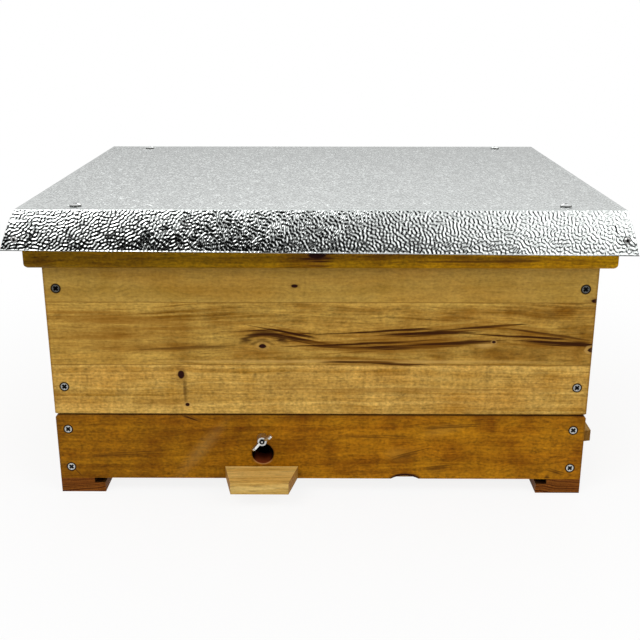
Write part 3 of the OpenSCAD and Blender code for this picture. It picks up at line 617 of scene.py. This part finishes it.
def frame_wood():
    """A frame's bars, with wax foundation between them that carries the cells' pattern."""
    bar = Wood("frame_wood", "Y", 59.0, 200.0)
    bar.grain(BARE)
    waves = [bar.y * math.cos(turn) + bar.z * math.sin(turn) for turn in (0.0, math.pi / 3, -math.pi / 3)]
    cells = sum((bar.math("COSINE", wave * (2 * math.pi / (CELL_PITCH * MM))) for wave in waves), 0.0)
    inside = bar.smooth(abs(bar.y), WAX_HALF * MM, (WAX_HALF - WAX_EDGE) * MM)
    inside = inside * bar.smooth(bar.z, WAX_Z[0] * MM, (WAX_Z[0] + WAX_EDGE) * MM)
    inside = inside * bar.smooth(bar.z, WAX_Z[1] * MM, (WAX_Z[1] - WAX_EDGE) * MM)
    wax = bar.mix(bar.smooth(cells, -1.5, 3.0), WAX_DARK, WAX_LIGHT)
    bar.paint(inside, wax)
    bar.relief = bar.relief * (1.0 - inside) + cells * inside
    return bar.done(END_OILED, 0.6)


def foam():
    g = Graph("foam")
    cells = g.noise(g.place, 2.0, 0.6, 700.0)
    colour = g.mix(g.smooth(cells, 0.35, 0.65), FOAM_DARK, FOAM_LIGHT)
    return g.finish(colour, 0.9, g.bump(cells, 0.6 * MM, 0.6), specular=0.1)


def grid_plastic():
    g = Graph("grid_plastic")
    grain = g.noise(g.place, 3.0, 0.6, 420.0)
    colour = g.mix(grain, PLASTIC_DARK, PLASTIC_LIGHT)
    return g.finish(colour, grain * 0.2 + 0.4, g.bump(grain, 0.1 * MM, 0.4), specular=0.4)


# Metal

ZINC = (srgb(186, 186, 182), srgb(232, 232, 230))
SCREW_ZINC = (srgb(170, 170, 164), srgb(226, 226, 222))
ROOF_SCREW_ZINC = (srgb(186, 188, 187), srgb(224, 226, 225))
CORNER_SCREW_ZINC = (srgb(150, 150, 148), srgb(220, 220, 218))
ROOF_METAL = (srgb(206, 211, 209), srgb(222, 226, 224))
SCREW_DULL = srgb(84, 84, 80)
SCREW_RECESS_SHADE = srgb(12, 11, 9)
ROOF_SCREW_SHADE = srgb(96, 96, 94)
CORNER_SCREW_SHADE = srgb(24, 24, 23)
THREAD_SHADE = srgb(20, 20, 18)
CUT_EDGE_SHADE = srgb(56, 56, 55)
# The cross recess and the rim of a wall screw's head, where shade is painted
CROSS_HALF, CROSS_REACH = 1.2 * MM, 2.8 * MM
HEAD_RIM = 3.3 * MM
# The upper wall screws are duller from the first height to the second
DULL_Z = (0.15, 0.19)
# The thread's ring on a gate bolt's end, where shade is painted
THREAD_IN, THREAD_OUT = 1.1 * MM, 2.9 * MM


class Zinc(Graph):
    """A zinc-plated piece's material, with a fine cloud in its colour, gloss and relief."""

    def __init__(self, name, tones):
        super().__init__(name)
        self.cloud = self.noise(self.place, 3.0, 0.6, 900.0)
        self.colour = self.mix(self.cloud, *tones)

    def done(self, metal=1.0, rough=0.25):
        relief = self.bump(self.cloud, 0.05 * MM, 0.3)
        return self.finish(self.colour, self.cloud * 0.2 + rough, relief, metal=metal)


def screw_zinc(name, levels, dull):
    """Wall screws: a bright head with painted shade in its cross recess and round its rim, with some dirt at
    the rim; dull darkens the upper ones.
    """
    g = Zinc(name, SCREW_ZINC)
    g.colour = g.mix(g.smooth(g.z, *DULL_Z) * dull, g.colour, SCREW_DULL)
    rise = abs(g.z - levels[0] * MM)
    for level in levels[1:]:
        rise = g.math("MINIMUM", rise, abs(g.z - level * MM))
    way = abs(g.x) - SCREW_S * MM
    far = g.length(way, rise)
    slots = [abs(way + rise) * math.sqrt(0.5), abs(way - rise) * math.sqrt(0.5)]
    cross = g.smooth(g.math("MINIMUM", *slots), CROSS_HALF, 0.75 * CROSS_HALF)
    cross = cross * g.smooth(g.math("MAXIMUM", *slots), CROSS_REACH, CROSS_REACH - 0.4 * MM)
    # painted shade in the cross recess and round the rim
    dark = g.math("MAXIMUM", cross, g.smooth(far, HEAD_RIM, HEAD_RIM + 0.3 * MM))
    g.colour = g.mix(dark, g.colour, SCREW_RECESS_SHADE)
    return g.done(metal=0.6)


def roof_screw_zinc():
    """Roof screws: heads like the sheet, with painted shade on the rim and in the middle."""
    g = Zinc("roof_screw_zinc", ROOF_SCREW_ZINC)
    far = g.length(abs(g.x) - ROOF_SCREW[0], abs(g.y) - ROOF_SCREW[1])
    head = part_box("roof_screws")[1].x - ROOF_SCREW[0]
    rim = g.smooth(far, head * 0.88, head * 0.95)
    # painted shade round the rim and in the recess
    dark = g.math("MAXIMUM", rim, g.smooth(far, head * 0.3, head * 0.2))
    g.colour = g.mix(dark, g.colour, ROOF_SCREW_SHADE)
    return g.done()


def corner_screw_zinc():
    """Corner screws: bright heads with painted shade in the recess and round the rim."""
    g = Zinc("corner_screw_zinc", CORNER_SCREW_ZINC)
    low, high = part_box("corner_screws")
    head = (high.z - low.z) / 2
    far = g.length(abs(g.x) - (high.x - head), g.z - (low.z + head)) * (1 / head)
    # painted shade round the rim and in the recess
    dark = g.math("MAXIMUM", g.smooth(far, 0.75, 0.9), g.smooth(far, 0.45, 0.3))
    g.colour = g.mix(dark, g.colour, CORNER_SCREW_SHADE)
    return g.done()


def bolt_zinc(side):
    """A gate bolt: painted shade in the thread round its end, bright in the middle."""
    g = Zinc(f"{side}_bolt_zinc", ZINC)
    low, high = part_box(f"{side}_bolt")
    middle = (low + high) / 2
    across = g.x - middle.x if side in ("front", "back") else g.y - middle.y
    far = g.length(across, g.z - middle.z)
    ring = g.smooth(far, THREAD_IN - 0.4 * MM, THREAD_IN) * g.smooth(far, THREAD_OUT + 0.3 * MM, THREAD_OUT)
    # painted shade in the thread's ring
    g.colour = g.mix(ring, g.colour, THREAD_SHADE)
    return g.done()


def roof_metal():
    """The sheet's metal, with painted shade on the cut edge at the foot near the corners."""
    g = Graph("roof_metal")
    cloud = g.noise(g.place, 3.0, 0.6, 60.0)
    fine = g.noise(g.place, 2.0, 0.6, 2200.0)
    above = g.z + g.x * (DROOP / ROOF_HIGH.x) - ROOF_LOW.z
    # painted shade on the lowest millimetre of the skirt near the corners
    cut = g.smooth(above, 1.2 * MM, 0.5 * MM) * g.smooth(abs(g.x), 0.235, 0.27)
    colour = g.mix(cut, g.mix(cloud, *ROOF_METAL), CUT_EDGE_SHADE)
    return g.finish(colour, fine * 0.06 + cloud * 0.04 + 0.07, g.bump(fine, 0.03 * MM, 0.2), metal=1.0)


# Roof sheet

ROOF_LOW, ROOF_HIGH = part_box("roof_sheet")
SHEET_T = 0.8 * MM
FLARE = 10.8 * MM
BEND_R = 1.8 * MM
BEND_FADE = 2.0 * MM
BOW = 0.6 * MM
LEFT_SPREAD = 2.2 * MM
TOP_STEP = 1.0 * MM
SKIRT_STEP = 0.6 * MM
EMBOSS_CELL = 0.5 * MM
EMBOSS_WAVE = 3.2 * MM
EMBOSS_ROUNDS = 2
EMBOSS_BAND = 0.4
EMBOSS_SHARP = 1.8
EMBOSS_BIAS = 0.1
EMBOSS_DEPTH = 0.3 * MM
BUCKLE_WAVE = 110 * MM
BUCKLE_DEPTH = 0.5 * MM
FOOT_LIP = 1.0 * MM
DROOP = 2.0 * MM
TAB_W, TAB_FOOT, TAB_TOP = 15 * MM, 9.5 * MM, 27.5 * MM
TAB_RISE = 0.25 * MM
ROOF_SCREW = (219.1 * MM, 188.1 * MM)
DENT_R = 6 * MM
DENT_DEPTH = 0.5 * MM


def banded_noise(shape, cell, wave, band, seed, rounds=1):
    """Noise of one wavelength on a grid, with a spread of 1; more rounds join its ridges into worms."""
    field = np.random.default_rng(seed).standard_normal(shape)
    across = np.fft.rfftfreq(shape[1], cell)[None, :]
    along = np.fft.fftfreq(shape[0], cell)[:, None]
    share = np.exp(-((np.hypot(across, along) * wave - 1) / band) ** 2)
    for _ in range(rounds):
        field = np.fft.irfft2(np.fft.rfft2(np.tanh(field)) * share, s=shape)
        field /= field.std()
    return field


def sampled(field, cell, p, q):
    """The field's values at flat places p, q, with the grid's middle at the origin."""
    rows, columns = field.shape
    i = np.clip(q / cell + rows / 2, 0, rows - 1.001)
    j = np.clip(p / cell + columns / 2, 0, columns - 1.001)
    i0, j0 = i.astype(int), j.astype(int)
    a, b = i - i0, j - j0
    upper = field[i0, j0] * (1 - b) + field[i0, j0 + 1] * b
    lower = field[i0 + 1, j0] * (1 - b) + field[i0 + 1, j0 + 1] * b
    return upper * (1 - a) + lower * a


class Sheet:
    """The bent roof sheet: where a point of the flat sheet lies, and its relief."""

    def __init__(self):
        self.top = ROOF_HIGH.z
        height = ROOF_HIGH.z - ROOF_LOW.z
        self.turn = math.pi / 2 - math.atan2(FLARE, height)
        inset = FLARE + BEND_R * math.tan(self.turn / 2)
        self.half = np.array([ROOF_HIGH.x - inset, ROOF_HIGH.y - inset])
        self.arc = BEND_R * self.turn
        self.straight = (height - BEND_R * (1 - math.cos(self.turn))) / math.sin(self.turn)
        self.reach = self.arc + self.straight
        size = 2 * (self.half + self.reach + 4 * EMBOSS_WAVE)
        shape = tuple(int(n) for n in size[::-1] / EMBOSS_CELL)
        worms = banded_noise(shape, EMBOSS_CELL, EMBOSS_WAVE, EMBOSS_BAND, 5, EMBOSS_ROUNDS)
        self.worms = np.tanh((worms - EMBOSS_BIAS) * EMBOSS_SHARP)
        self.buckles = np.tanh(banded_noise(shape, EMBOSS_CELL, BUCKLE_WAVE, 0.8, 8))

    def profile(self, run):
        """How far out, how far down and how steep the sheet is, run along it from the bend."""
        angle = np.clip(run / BEND_R, 0, self.turn)
        past = np.maximum(run - self.arc, 0)
        bow = BOW * 4 * past * (self.straight - past) / self.straight ** 2
        out = BEND_R * np.sin(angle) + past * math.cos(self.turn) + bow * math.sin(self.turn)
        down = BEND_R * (1 - np.cos(angle)) + past * math.sin(self.turn) - bow * math.cos(self.turn)
        return out, down, angle

    def relief(self, p, q, run):
        """How deep the sheet is pressed in at a flat place."""
        worms = EMBOSS_DEPTH / 2 * (1 - sampled(self.worms, EMBOSS_CELL, p, q))
        worms = worms * np.clip(np.abs(run) / BEND_FADE, 0, 1)
        skirt = np.clip(run / self.reach, 0, 1)
        buckles = BUCKLE_DEPTH / 2 * skirt * (1 + sampled(self.buckles, EMBOSS_CELL, p, q))
        lip = np.clip((run - self.reach) / FOOT_LIP + 1, 0, 1)
        return (worms + buckles + self.dents(p, q)) * (1 - lip) - TAB_RISE * self.tabs(p, q, run)

    def dents(self, p, q):
        """The sheet is drawn in a little under each screw of the top."""
        far = np.hypot(np.abs(p) - ROOF_SCREW[0], np.abs(q) - ROOF_SCREW[1])
        return DENT_DEPTH * np.exp(-((far / DENT_R) ** 2))

    def tabs(self, p, q, run):
        """1 on the tabs that are folded round the corners onto the front and back skirts."""
        above = self.reach - run
        level = (above > TAB_FOOT) & (above < TAB_TOP)
        return level & (self.half[0] - np.abs(p) < TAB_W) & (np.abs(q) > self.half[1] + self.arc)


def rim_points(half, step):
    """Points round the top's edge as shares of its half size, counter-clockwise from the front left."""
    across, along = (np.linspace(-1, 1, int(2 * h / step) + 1)[:-1] for h in half)
    front = np.column_stack([across, np.full(len(across), -1.0)])
    right = np.column_stack([np.ones(len(along)), along])
    corners = np.cumsum([0, len(front), len(right), len(front), len(right)])
    return np.vstack([front, right, -front, -right]), corners


def skirt_ring(sheet, unit, sense, run):
    """Points round the skirt, run along the sheet from the bend; sense points out of each wall."""
    out, down, angle = sheet.profile(run)
    flat = unit * sheet.half + sense * run
    deep = sheet.relief(flat[:, 0], flat[:, 1], np.full(len(flat), run))
    square = sense / np.sqrt(np.abs(sense).sum(1, keepdims=True))
    place = unit * (sheet.half + out) - square * (deep * np.sin(angle))[:, None]
    place[:, 0] -= LEFT_SPREAD * (run / sheet.reach) * np.maximum(-unit[:, 0], 0)
    level = sheet.top - down - DROOP * unit[:, 0] * (run / sheet.reach) - deep * np.cos(angle)
    return np.column_stack([place, level])


def ring_faces(upper, lower):
    """Quads between two rings of points, the upper one above."""
    return np.stack([np.roll(upper, -1), upper, lower, np.roll(lower, -1)], 1).tolist()


def new_mesh(name, points, faces, material, smooth=True):
    mesh = bpy.data.meshes.new(name)
    mesh.from_pydata(points, [], faces)
    mesh.polygons.foreach_set("use_smooth", [smooth] * len(mesh.polygons))
    mesh.materials.append(material)
    mesh.update()
    piece = bpy.data.objects.new(name, mesh)
    bpy.context.scene.collection.objects.link(piece)
    return piece


def sheet_top(sheet):
    """Points and faces of the top."""
    columns, rows = (int(2 * h / TOP_STEP) + 1 for h in sheet.half)
    x, y = np.meshgrid(*(np.linspace(-h, h, n) for h, n in zip(sheet.half, (columns, rows))))
    run = np.maximum(np.abs(x) - sheet.half[0], np.abs(y) - sheet.half[1])
    points = np.stack([x, y, sheet.top - sheet.relief(x, y, run)], -1).reshape(-1, 3)
    corner = np.arange((rows - 1) * columns).reshape(rows - 1, columns)[:, :-1].ravel()
    return points, np.stack([corner, corner + 1, corner + columns + 1, corner + columns], 1).tolist()


def sheet_skirt(sheet, first):
    """Points and faces of the skirt, down its outside, round its foot and up to a plain ceiling inside."""
    unit, corners = rim_points(sheet.half, SKIRT_STEP)
    sense = np.sign(unit) * (np.abs(np.abs(unit) - 1) < 1e-6)
    straight = np.linspace(sheet.arc, sheet.reach, int((sheet.reach - sheet.arc) / SKIRT_STEP))
    runs = list(np.linspace(0, sheet.arc, 5)) + list(straight[1:])
    rings = [skirt_ring(sheet, unit, sense, run) for run in runs]
    inner = rings[-1].copy()
    inner[:, :2] -= sense * SHEET_T
    around = len(unit)
    faces = []
    for count in range(len(rings)):
        upper = first + count * around + np.arange(around)
        faces += ring_faces(upper, upper + around)
    half = sheet.half + BEND_R / 2
    under = sheet.top - SHEET_T - EMBOSS_DEPTH
    ceiling = [(sx * half[0], sy * half[1], under) for sx, sy in ((-1, -1), (1, -1), (1, 1), (-1, 1))]
    foot = first + len(rings) * around
    cap = foot + around
    for side in range(4):
        edge = [foot + step % around for step in range(corners[side], corners[side + 1] + 1)]
        faces.append(tuple([cap + side, *edge, cap + (side + 1) % 4][::-1]))
    faces.append((cap + 3, cap + 2, cap + 1, cap))
    return np.vstack(rings + [inner, ceiling]), faces


def roof(material):
    """The embossed roof sheet: a flat top, a bent and flared skirt, and a plain inside."""
    sheet = Sheet()
    top, top_faces = sheet_top(sheet)
    skirt, skirt_faces = sheet_skirt(sheet, len(top))
    piece = new_mesh("roof", np.vstack([top, skirt]), top_faces + skirt_faces, material)
    for face in piece.data.polygons[-5:]:
        face.use_smooth = False
    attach(piece, "lid")
    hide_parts("roof_sheet")


# Materials on the solids

# Underside and top of the plywood pieces, in mm
COVER_Z, PANEL_Z, BOARD_Z = (251, 255), (275, 284), (10, 14)
EDGE_EASE = 0.5 * MM
SOFT_BOARDS = [f"body_{side}_wall" for side in SIDES] + [f"floor_{side}_wall" for side in SIDES]
SOFT_BOARDS += [f"lid_{side}_rim" for side in SIDES]
SOFT_BOARDS += ["left_runner", "right_runner"] + [f"{side}_landing" for side in SIDES]


def dress(names, material):
    for name in names:
        node = NODES[name]
        node.data.materials.clear()
        node.data.materials.append(material)


def soften(names, width):
    """Eases the sharp edges of boards without touching their solids."""
    for name in names:
        weld = NODES[name].modifiers.new("weld", "WELD")
        weld.merge_threshold = 0.01 * MM
        plain = NODES[name].modifiers.new("plain", "DECIMATE")
        plain.decimate_type = "DISSOLVE"
        plain.angle_limit = math.radians(1)
        ease = NODES[name].modifiers.new("ease", "BEVEL")
        ease.width = width
        ease.segments = 2
        ease.limit_method = "ANGLE"
        ease.angle_limit = math.radians(40)


def numbered(stem, marks):
    return [f"{stem}_{mark}" for mark in marks]


def dress_boards():
    dress(["body_front_wall"], body_front())
    dress(["body_back_wall"], body_back())
    dress(["body_left_wall", "body_right_wall"], body_side())
    dress(["floor_front_wall"], floor_front())
    dress(["floor_back_wall"], floor_wall("floor_back_wood", "X", 27.0, HALF_W, FRONT_HOLE, FLOOR_SCREWS))
    dress(["floor_left_wall"], floor_wall("floor_left_wood", "Y", 29.0, HALF_D, END_HOLE))
    dress(["floor_right_wall"], floor_wall("floor_right_wood", "Y", 33.0, HALF_D, -END_HOLE))
    dress(["left_runner", "right_runner"], runner())
    dress(["lid_front_rim"], rim_front())
    dress(["lid_back_rim"], plain_board("rim_back_wood", "X", OLIVE, 36.0))
    dress(["lid_left_rim", "lid_right_rim"], plain_board("rim_side_wood", "Y", OLIVE, 37.0))
    dress(["front_landing", "back_landing"], landing("landing_wood", "X", RAW, 41.0))
    # the side landings take the darker tones, as painted shade
    dress(["left_landing", "right_landing"], landing("landing_side_wood", "Y", RAW_PAINTED_SHADE, 43.0))


def dress_inside():
    chambers = (1, 2, 3, 4)
    dress(numbered("chamber_cover", chambers), plywood("cover_ply", *COVER_Z))
    dress(["lid_panel"], plywood("panel_ply", *PANEL_Z))
    dress(["bottom_board"], plywood("board_ply", *BOARD_Z))
    dividers = ["floor_dividers"] + numbered("body_divider", (1, 2, 3))
    dress(dividers, plain_board("divider_wood", "Y", BARE, 47.0))
    dress(numbered("frame", [f"{chamber}{place}" for chamber in chambers for place in "abc"]), frame_wood())
    dress(["lid_foam"], foam())
    dress(["floor_grid"], grid_plastic())


def dress_metal():
    steel = Zinc("zinc", ZINC).done(rough=0.22)
    dress(["floor_screws"], screw_zinc("floor_screw_zinc", FLOOR_SCREW_Z, 0.0))
    dress(["body_screws"], screw_zinc("body_screw_zinc", BODY_SCREW_Z, 0.8))
    dress(["roof_screws"], roof_screw_zinc())
    dress(["corner_screws"], corner_screw_zinc())
    for side in SIDES:
        dress([f"{side}_gate", f"{side}_wing_nut"], steel)
        dress([f"{side}_bolt"], bolt_zinc(side))


# Stage

CAMERA_PLACE = (0.0054, -1.0245, 0.4494)
CAMERA_TILT, CAMERA_TURN = 71.99, 0.389
LENS, SENSOR = 53.3, 36
# Lamps: name, place, size, watts
LAMPS = [("key", (-1.2, -1.6, 2.0), (1.6, 1.2), 22), ("fill", (1.6, -1.4, 1.5), (1.4, 1.4), 12),
         ("right_strip", (1.0, -2.0, 0.85), (0.9, 0.9), 2.1),
         ("left_strip", (-1.0, -2.0, 1.3), (0.8, 0.7), 0.7), ("back_strip", (0.2, 2.2, 1.7), (2.0, 0.5), 10)]
LAMP_AIM = (0, 0, 0.15)
SKY_LIGHT, SKY_SEEN = 0.62, 1.0
GROUND_HALF = 9.0
GROUND_TONES = (srgb(243, 243, 243), srgb(246, 246, 246))
# The ring of flags: its radius, the hole in its floor part, its height and its foot
FLAG_R, FLAG_NEAR = 2.4, 0.5
FLAG_TOP, FLAG_FOOT = 2.4, 0.002
FLAG_SIDES = 64
FLAG_BLACK = srgb(10, 10, 10)
# Edges of the flags in turn from the front, in radians, each from clear to dark, and their strengths
FLAG_LEFT, FRONT_RIGHT, LOW_RIGHT = (-1.2, -0.7), (0.12, 0.035), (1.5, 0.9)
LOW_SHARE, BACK_SHARE = 0.85, 0.38
# Upper edges in metres: the low flag's, the back flag's and the front flag's at its left and right
LOW_TOP, BACK_TOP = (0.9, 0.45), (1.05, 0.75)
FRONT_TOP_LEFT, FRONT_TOP_RISE = 0.85, 1.1


def camera():
    data = bpy.data.cameras.new("camera")
    data.lens = LENS
    data.sensor_width = SENSOR
    seen = bpy.data.objects.new("camera", data)
    seen.location = CAMERA_PLACE
    seen.rotation_euler = (math.radians(CAMERA_TILT), 0, math.radians(CAMERA_TURN))
    bpy.context.scene.collection.objects.link(seen)
    bpy.context.scene.camera = seen


def lamp(name, place, size, watts):
    """A soft rectangular lamp that points at the box."""
    data = bpy.data.lights.new(name, "AREA")
    data.shape = "RECTANGLE"
    data.size, data.size_y = size
    data.energy = watts
    piece = bpy.data.objects.new(name, data)
    piece.location = place
    way = np.array(LAMP_AIM) - np.array(place)
    level = math.hypot(way[0], way[1])
    piece.rotation_euler = (math.pi / 2 + math.atan2(way[2], level), 0, math.atan2(-way[0], way[1]))
    bpy.context.scene.collection.objects.link(piece)


def seen_share(tree):
    """1 on rays that show a surface to the camera, straight or in a mirror, and 0 on the light's rays."""
    path = tree.nodes.new("ShaderNodeLightPath")
    total = path.outputs["Is Camera Ray"]
    for ray in ("Is Glossy Ray", "Is Transmission Ray"):
        most = tree.nodes.new("ShaderNodeMath")
        most.operation = "MAXIMUM"
        tree.links.new(total, most.inputs[0])
        tree.links.new(path.outputs[ray], most.inputs[1])
        total = most.outputs[0]
    return total


def world():
    """A white surround that lights the box more softly than it looks."""
    seen = bpy.data.worlds.new("studio")
    seen.use_nodes = True
    bpy.context.scene.world = seen
    tree = seen.node_tree
    level = tree.nodes.new("ShaderNodeMapRange")
    level.inputs["To Min"].default_value = SKY_LIGHT
    level.inputs["To Max"].default_value = SKY_SEEN
    tree.links.new(seen_share(tree), level.inputs["Value"])
    sky = tree.nodes["Background"]
    sky.inputs["Color"].default_value = (1, 1, 1, 1)
    tree.links.new(level.outputs["Result"], sky.inputs["Strength"])


def overlay(g, share, over):
    """Lays another shader over the material's own by the given share."""
    cover = g.add("ShaderNodeMixShader")
    g.feed(cover.inputs[0], share)
    g.tree.links.new(g.shader.outputs[0], cover.inputs[1])
    g.tree.links.new(over.outputs[0], cover.inputs[2])
    g.tree.links.new(cover.outputs[0], g.tree.nodes["Material Output"].inputs["Surface"])


def ground():
    """A white floor that keeps the shadow near the box and melts into the background further off."""
    g = Graph("ground_white")
    far = g.length(g.x, g.y)
    share = g.smooth(far, 0.3, 0.8) * 0.14 + 0.86
    cloud = g.noise(g.place, 2.0, 0.5, 3.0)
    g.finish(g.mix(cloud, *GROUND_TONES), 0.9, specular=0.0)
    overlay(g, share * Field(g, seen_share(g.tree)), g.add("ShaderNodeEmission"))
    corners = [(x * GROUND_HALF, y * GROUND_HALF, 0) for x, y in ((-1, -1), (1, -1), (1, 1), (-1, 1))]
    new_mesh("ground", corners, [(0, 1, 2, 3)], g.material, smooth=False)


def flags():
    """A ring of dark flags that only mirrors see, so that the embossing shows: high at the front, low at
    the right and half clear at the back."""
    g = Graph("flag_black")
    turn = g.math("ARCTAN2", g.x, g.y * -1.0)
    left = g.smooth(turn, *FLAG_LEFT)
    top = g.smooth(turn, -0.55, -0.1) * FRONT_TOP_RISE + FRONT_TOP_LEFT
    front = g.smooth(g.z - top, 0.2, -0.12) * g.smooth(turn, *FRONT_RIGHT) * left
    low = g.smooth(g.z, *LOW_TOP) * g.smooth(turn, *LOW_RIGHT) * left * LOW_SHARE
    back = g.smooth(g.y, 0.2, 0.8) * g.smooth(g.z, *BACK_TOP) * BACK_SHARE
    g.finish(FLAG_BLACK, 0.9, specular=0.0)
    dark = g.math("MAXIMUM", g.math("MAXIMUM", front, low), back)
    overlay(g, 1.0 - dark, g.add("ShaderNodeBsdfTransparent"))
    turns = [2 * math.pi * step / FLAG_SIDES for step in range(FLAG_SIDES)]
    rings = ((FLAG_R, FLAG_TOP), (FLAG_R, FLAG_FOOT), (FLAG_NEAR, FLAG_FOOT))
    points = [(radius * math.sin(t), radius * math.cos(t), z) for radius, z in rings for t in turns]
    upper = np.arange(FLAG_SIDES)
    faces = ring_faces(upper, upper + FLAG_SIDES)
    faces += ring_faces(upper + FLAG_SIDES, upper + 2 * FLAG_SIDES)
    wall = new_mesh("flags", points, faces, g.material, smooth=False)
    wall.visible_camera = False
    wall.visible_diffuse = False
    wall.visible_shadow = False
    wall.visible_transmission = False


def stage():
    bpy.context.scene.view_settings.view_transform = "Standard"
    camera()
    world()
    ground()
    flags()
    for settings in LAMPS:
        lamp(*settings)


dress_boards()
dress_inside()
dress_metal()
soften(SOFT_BOARDS, EDGE_EASE)
roof(roof_metal())
stage()
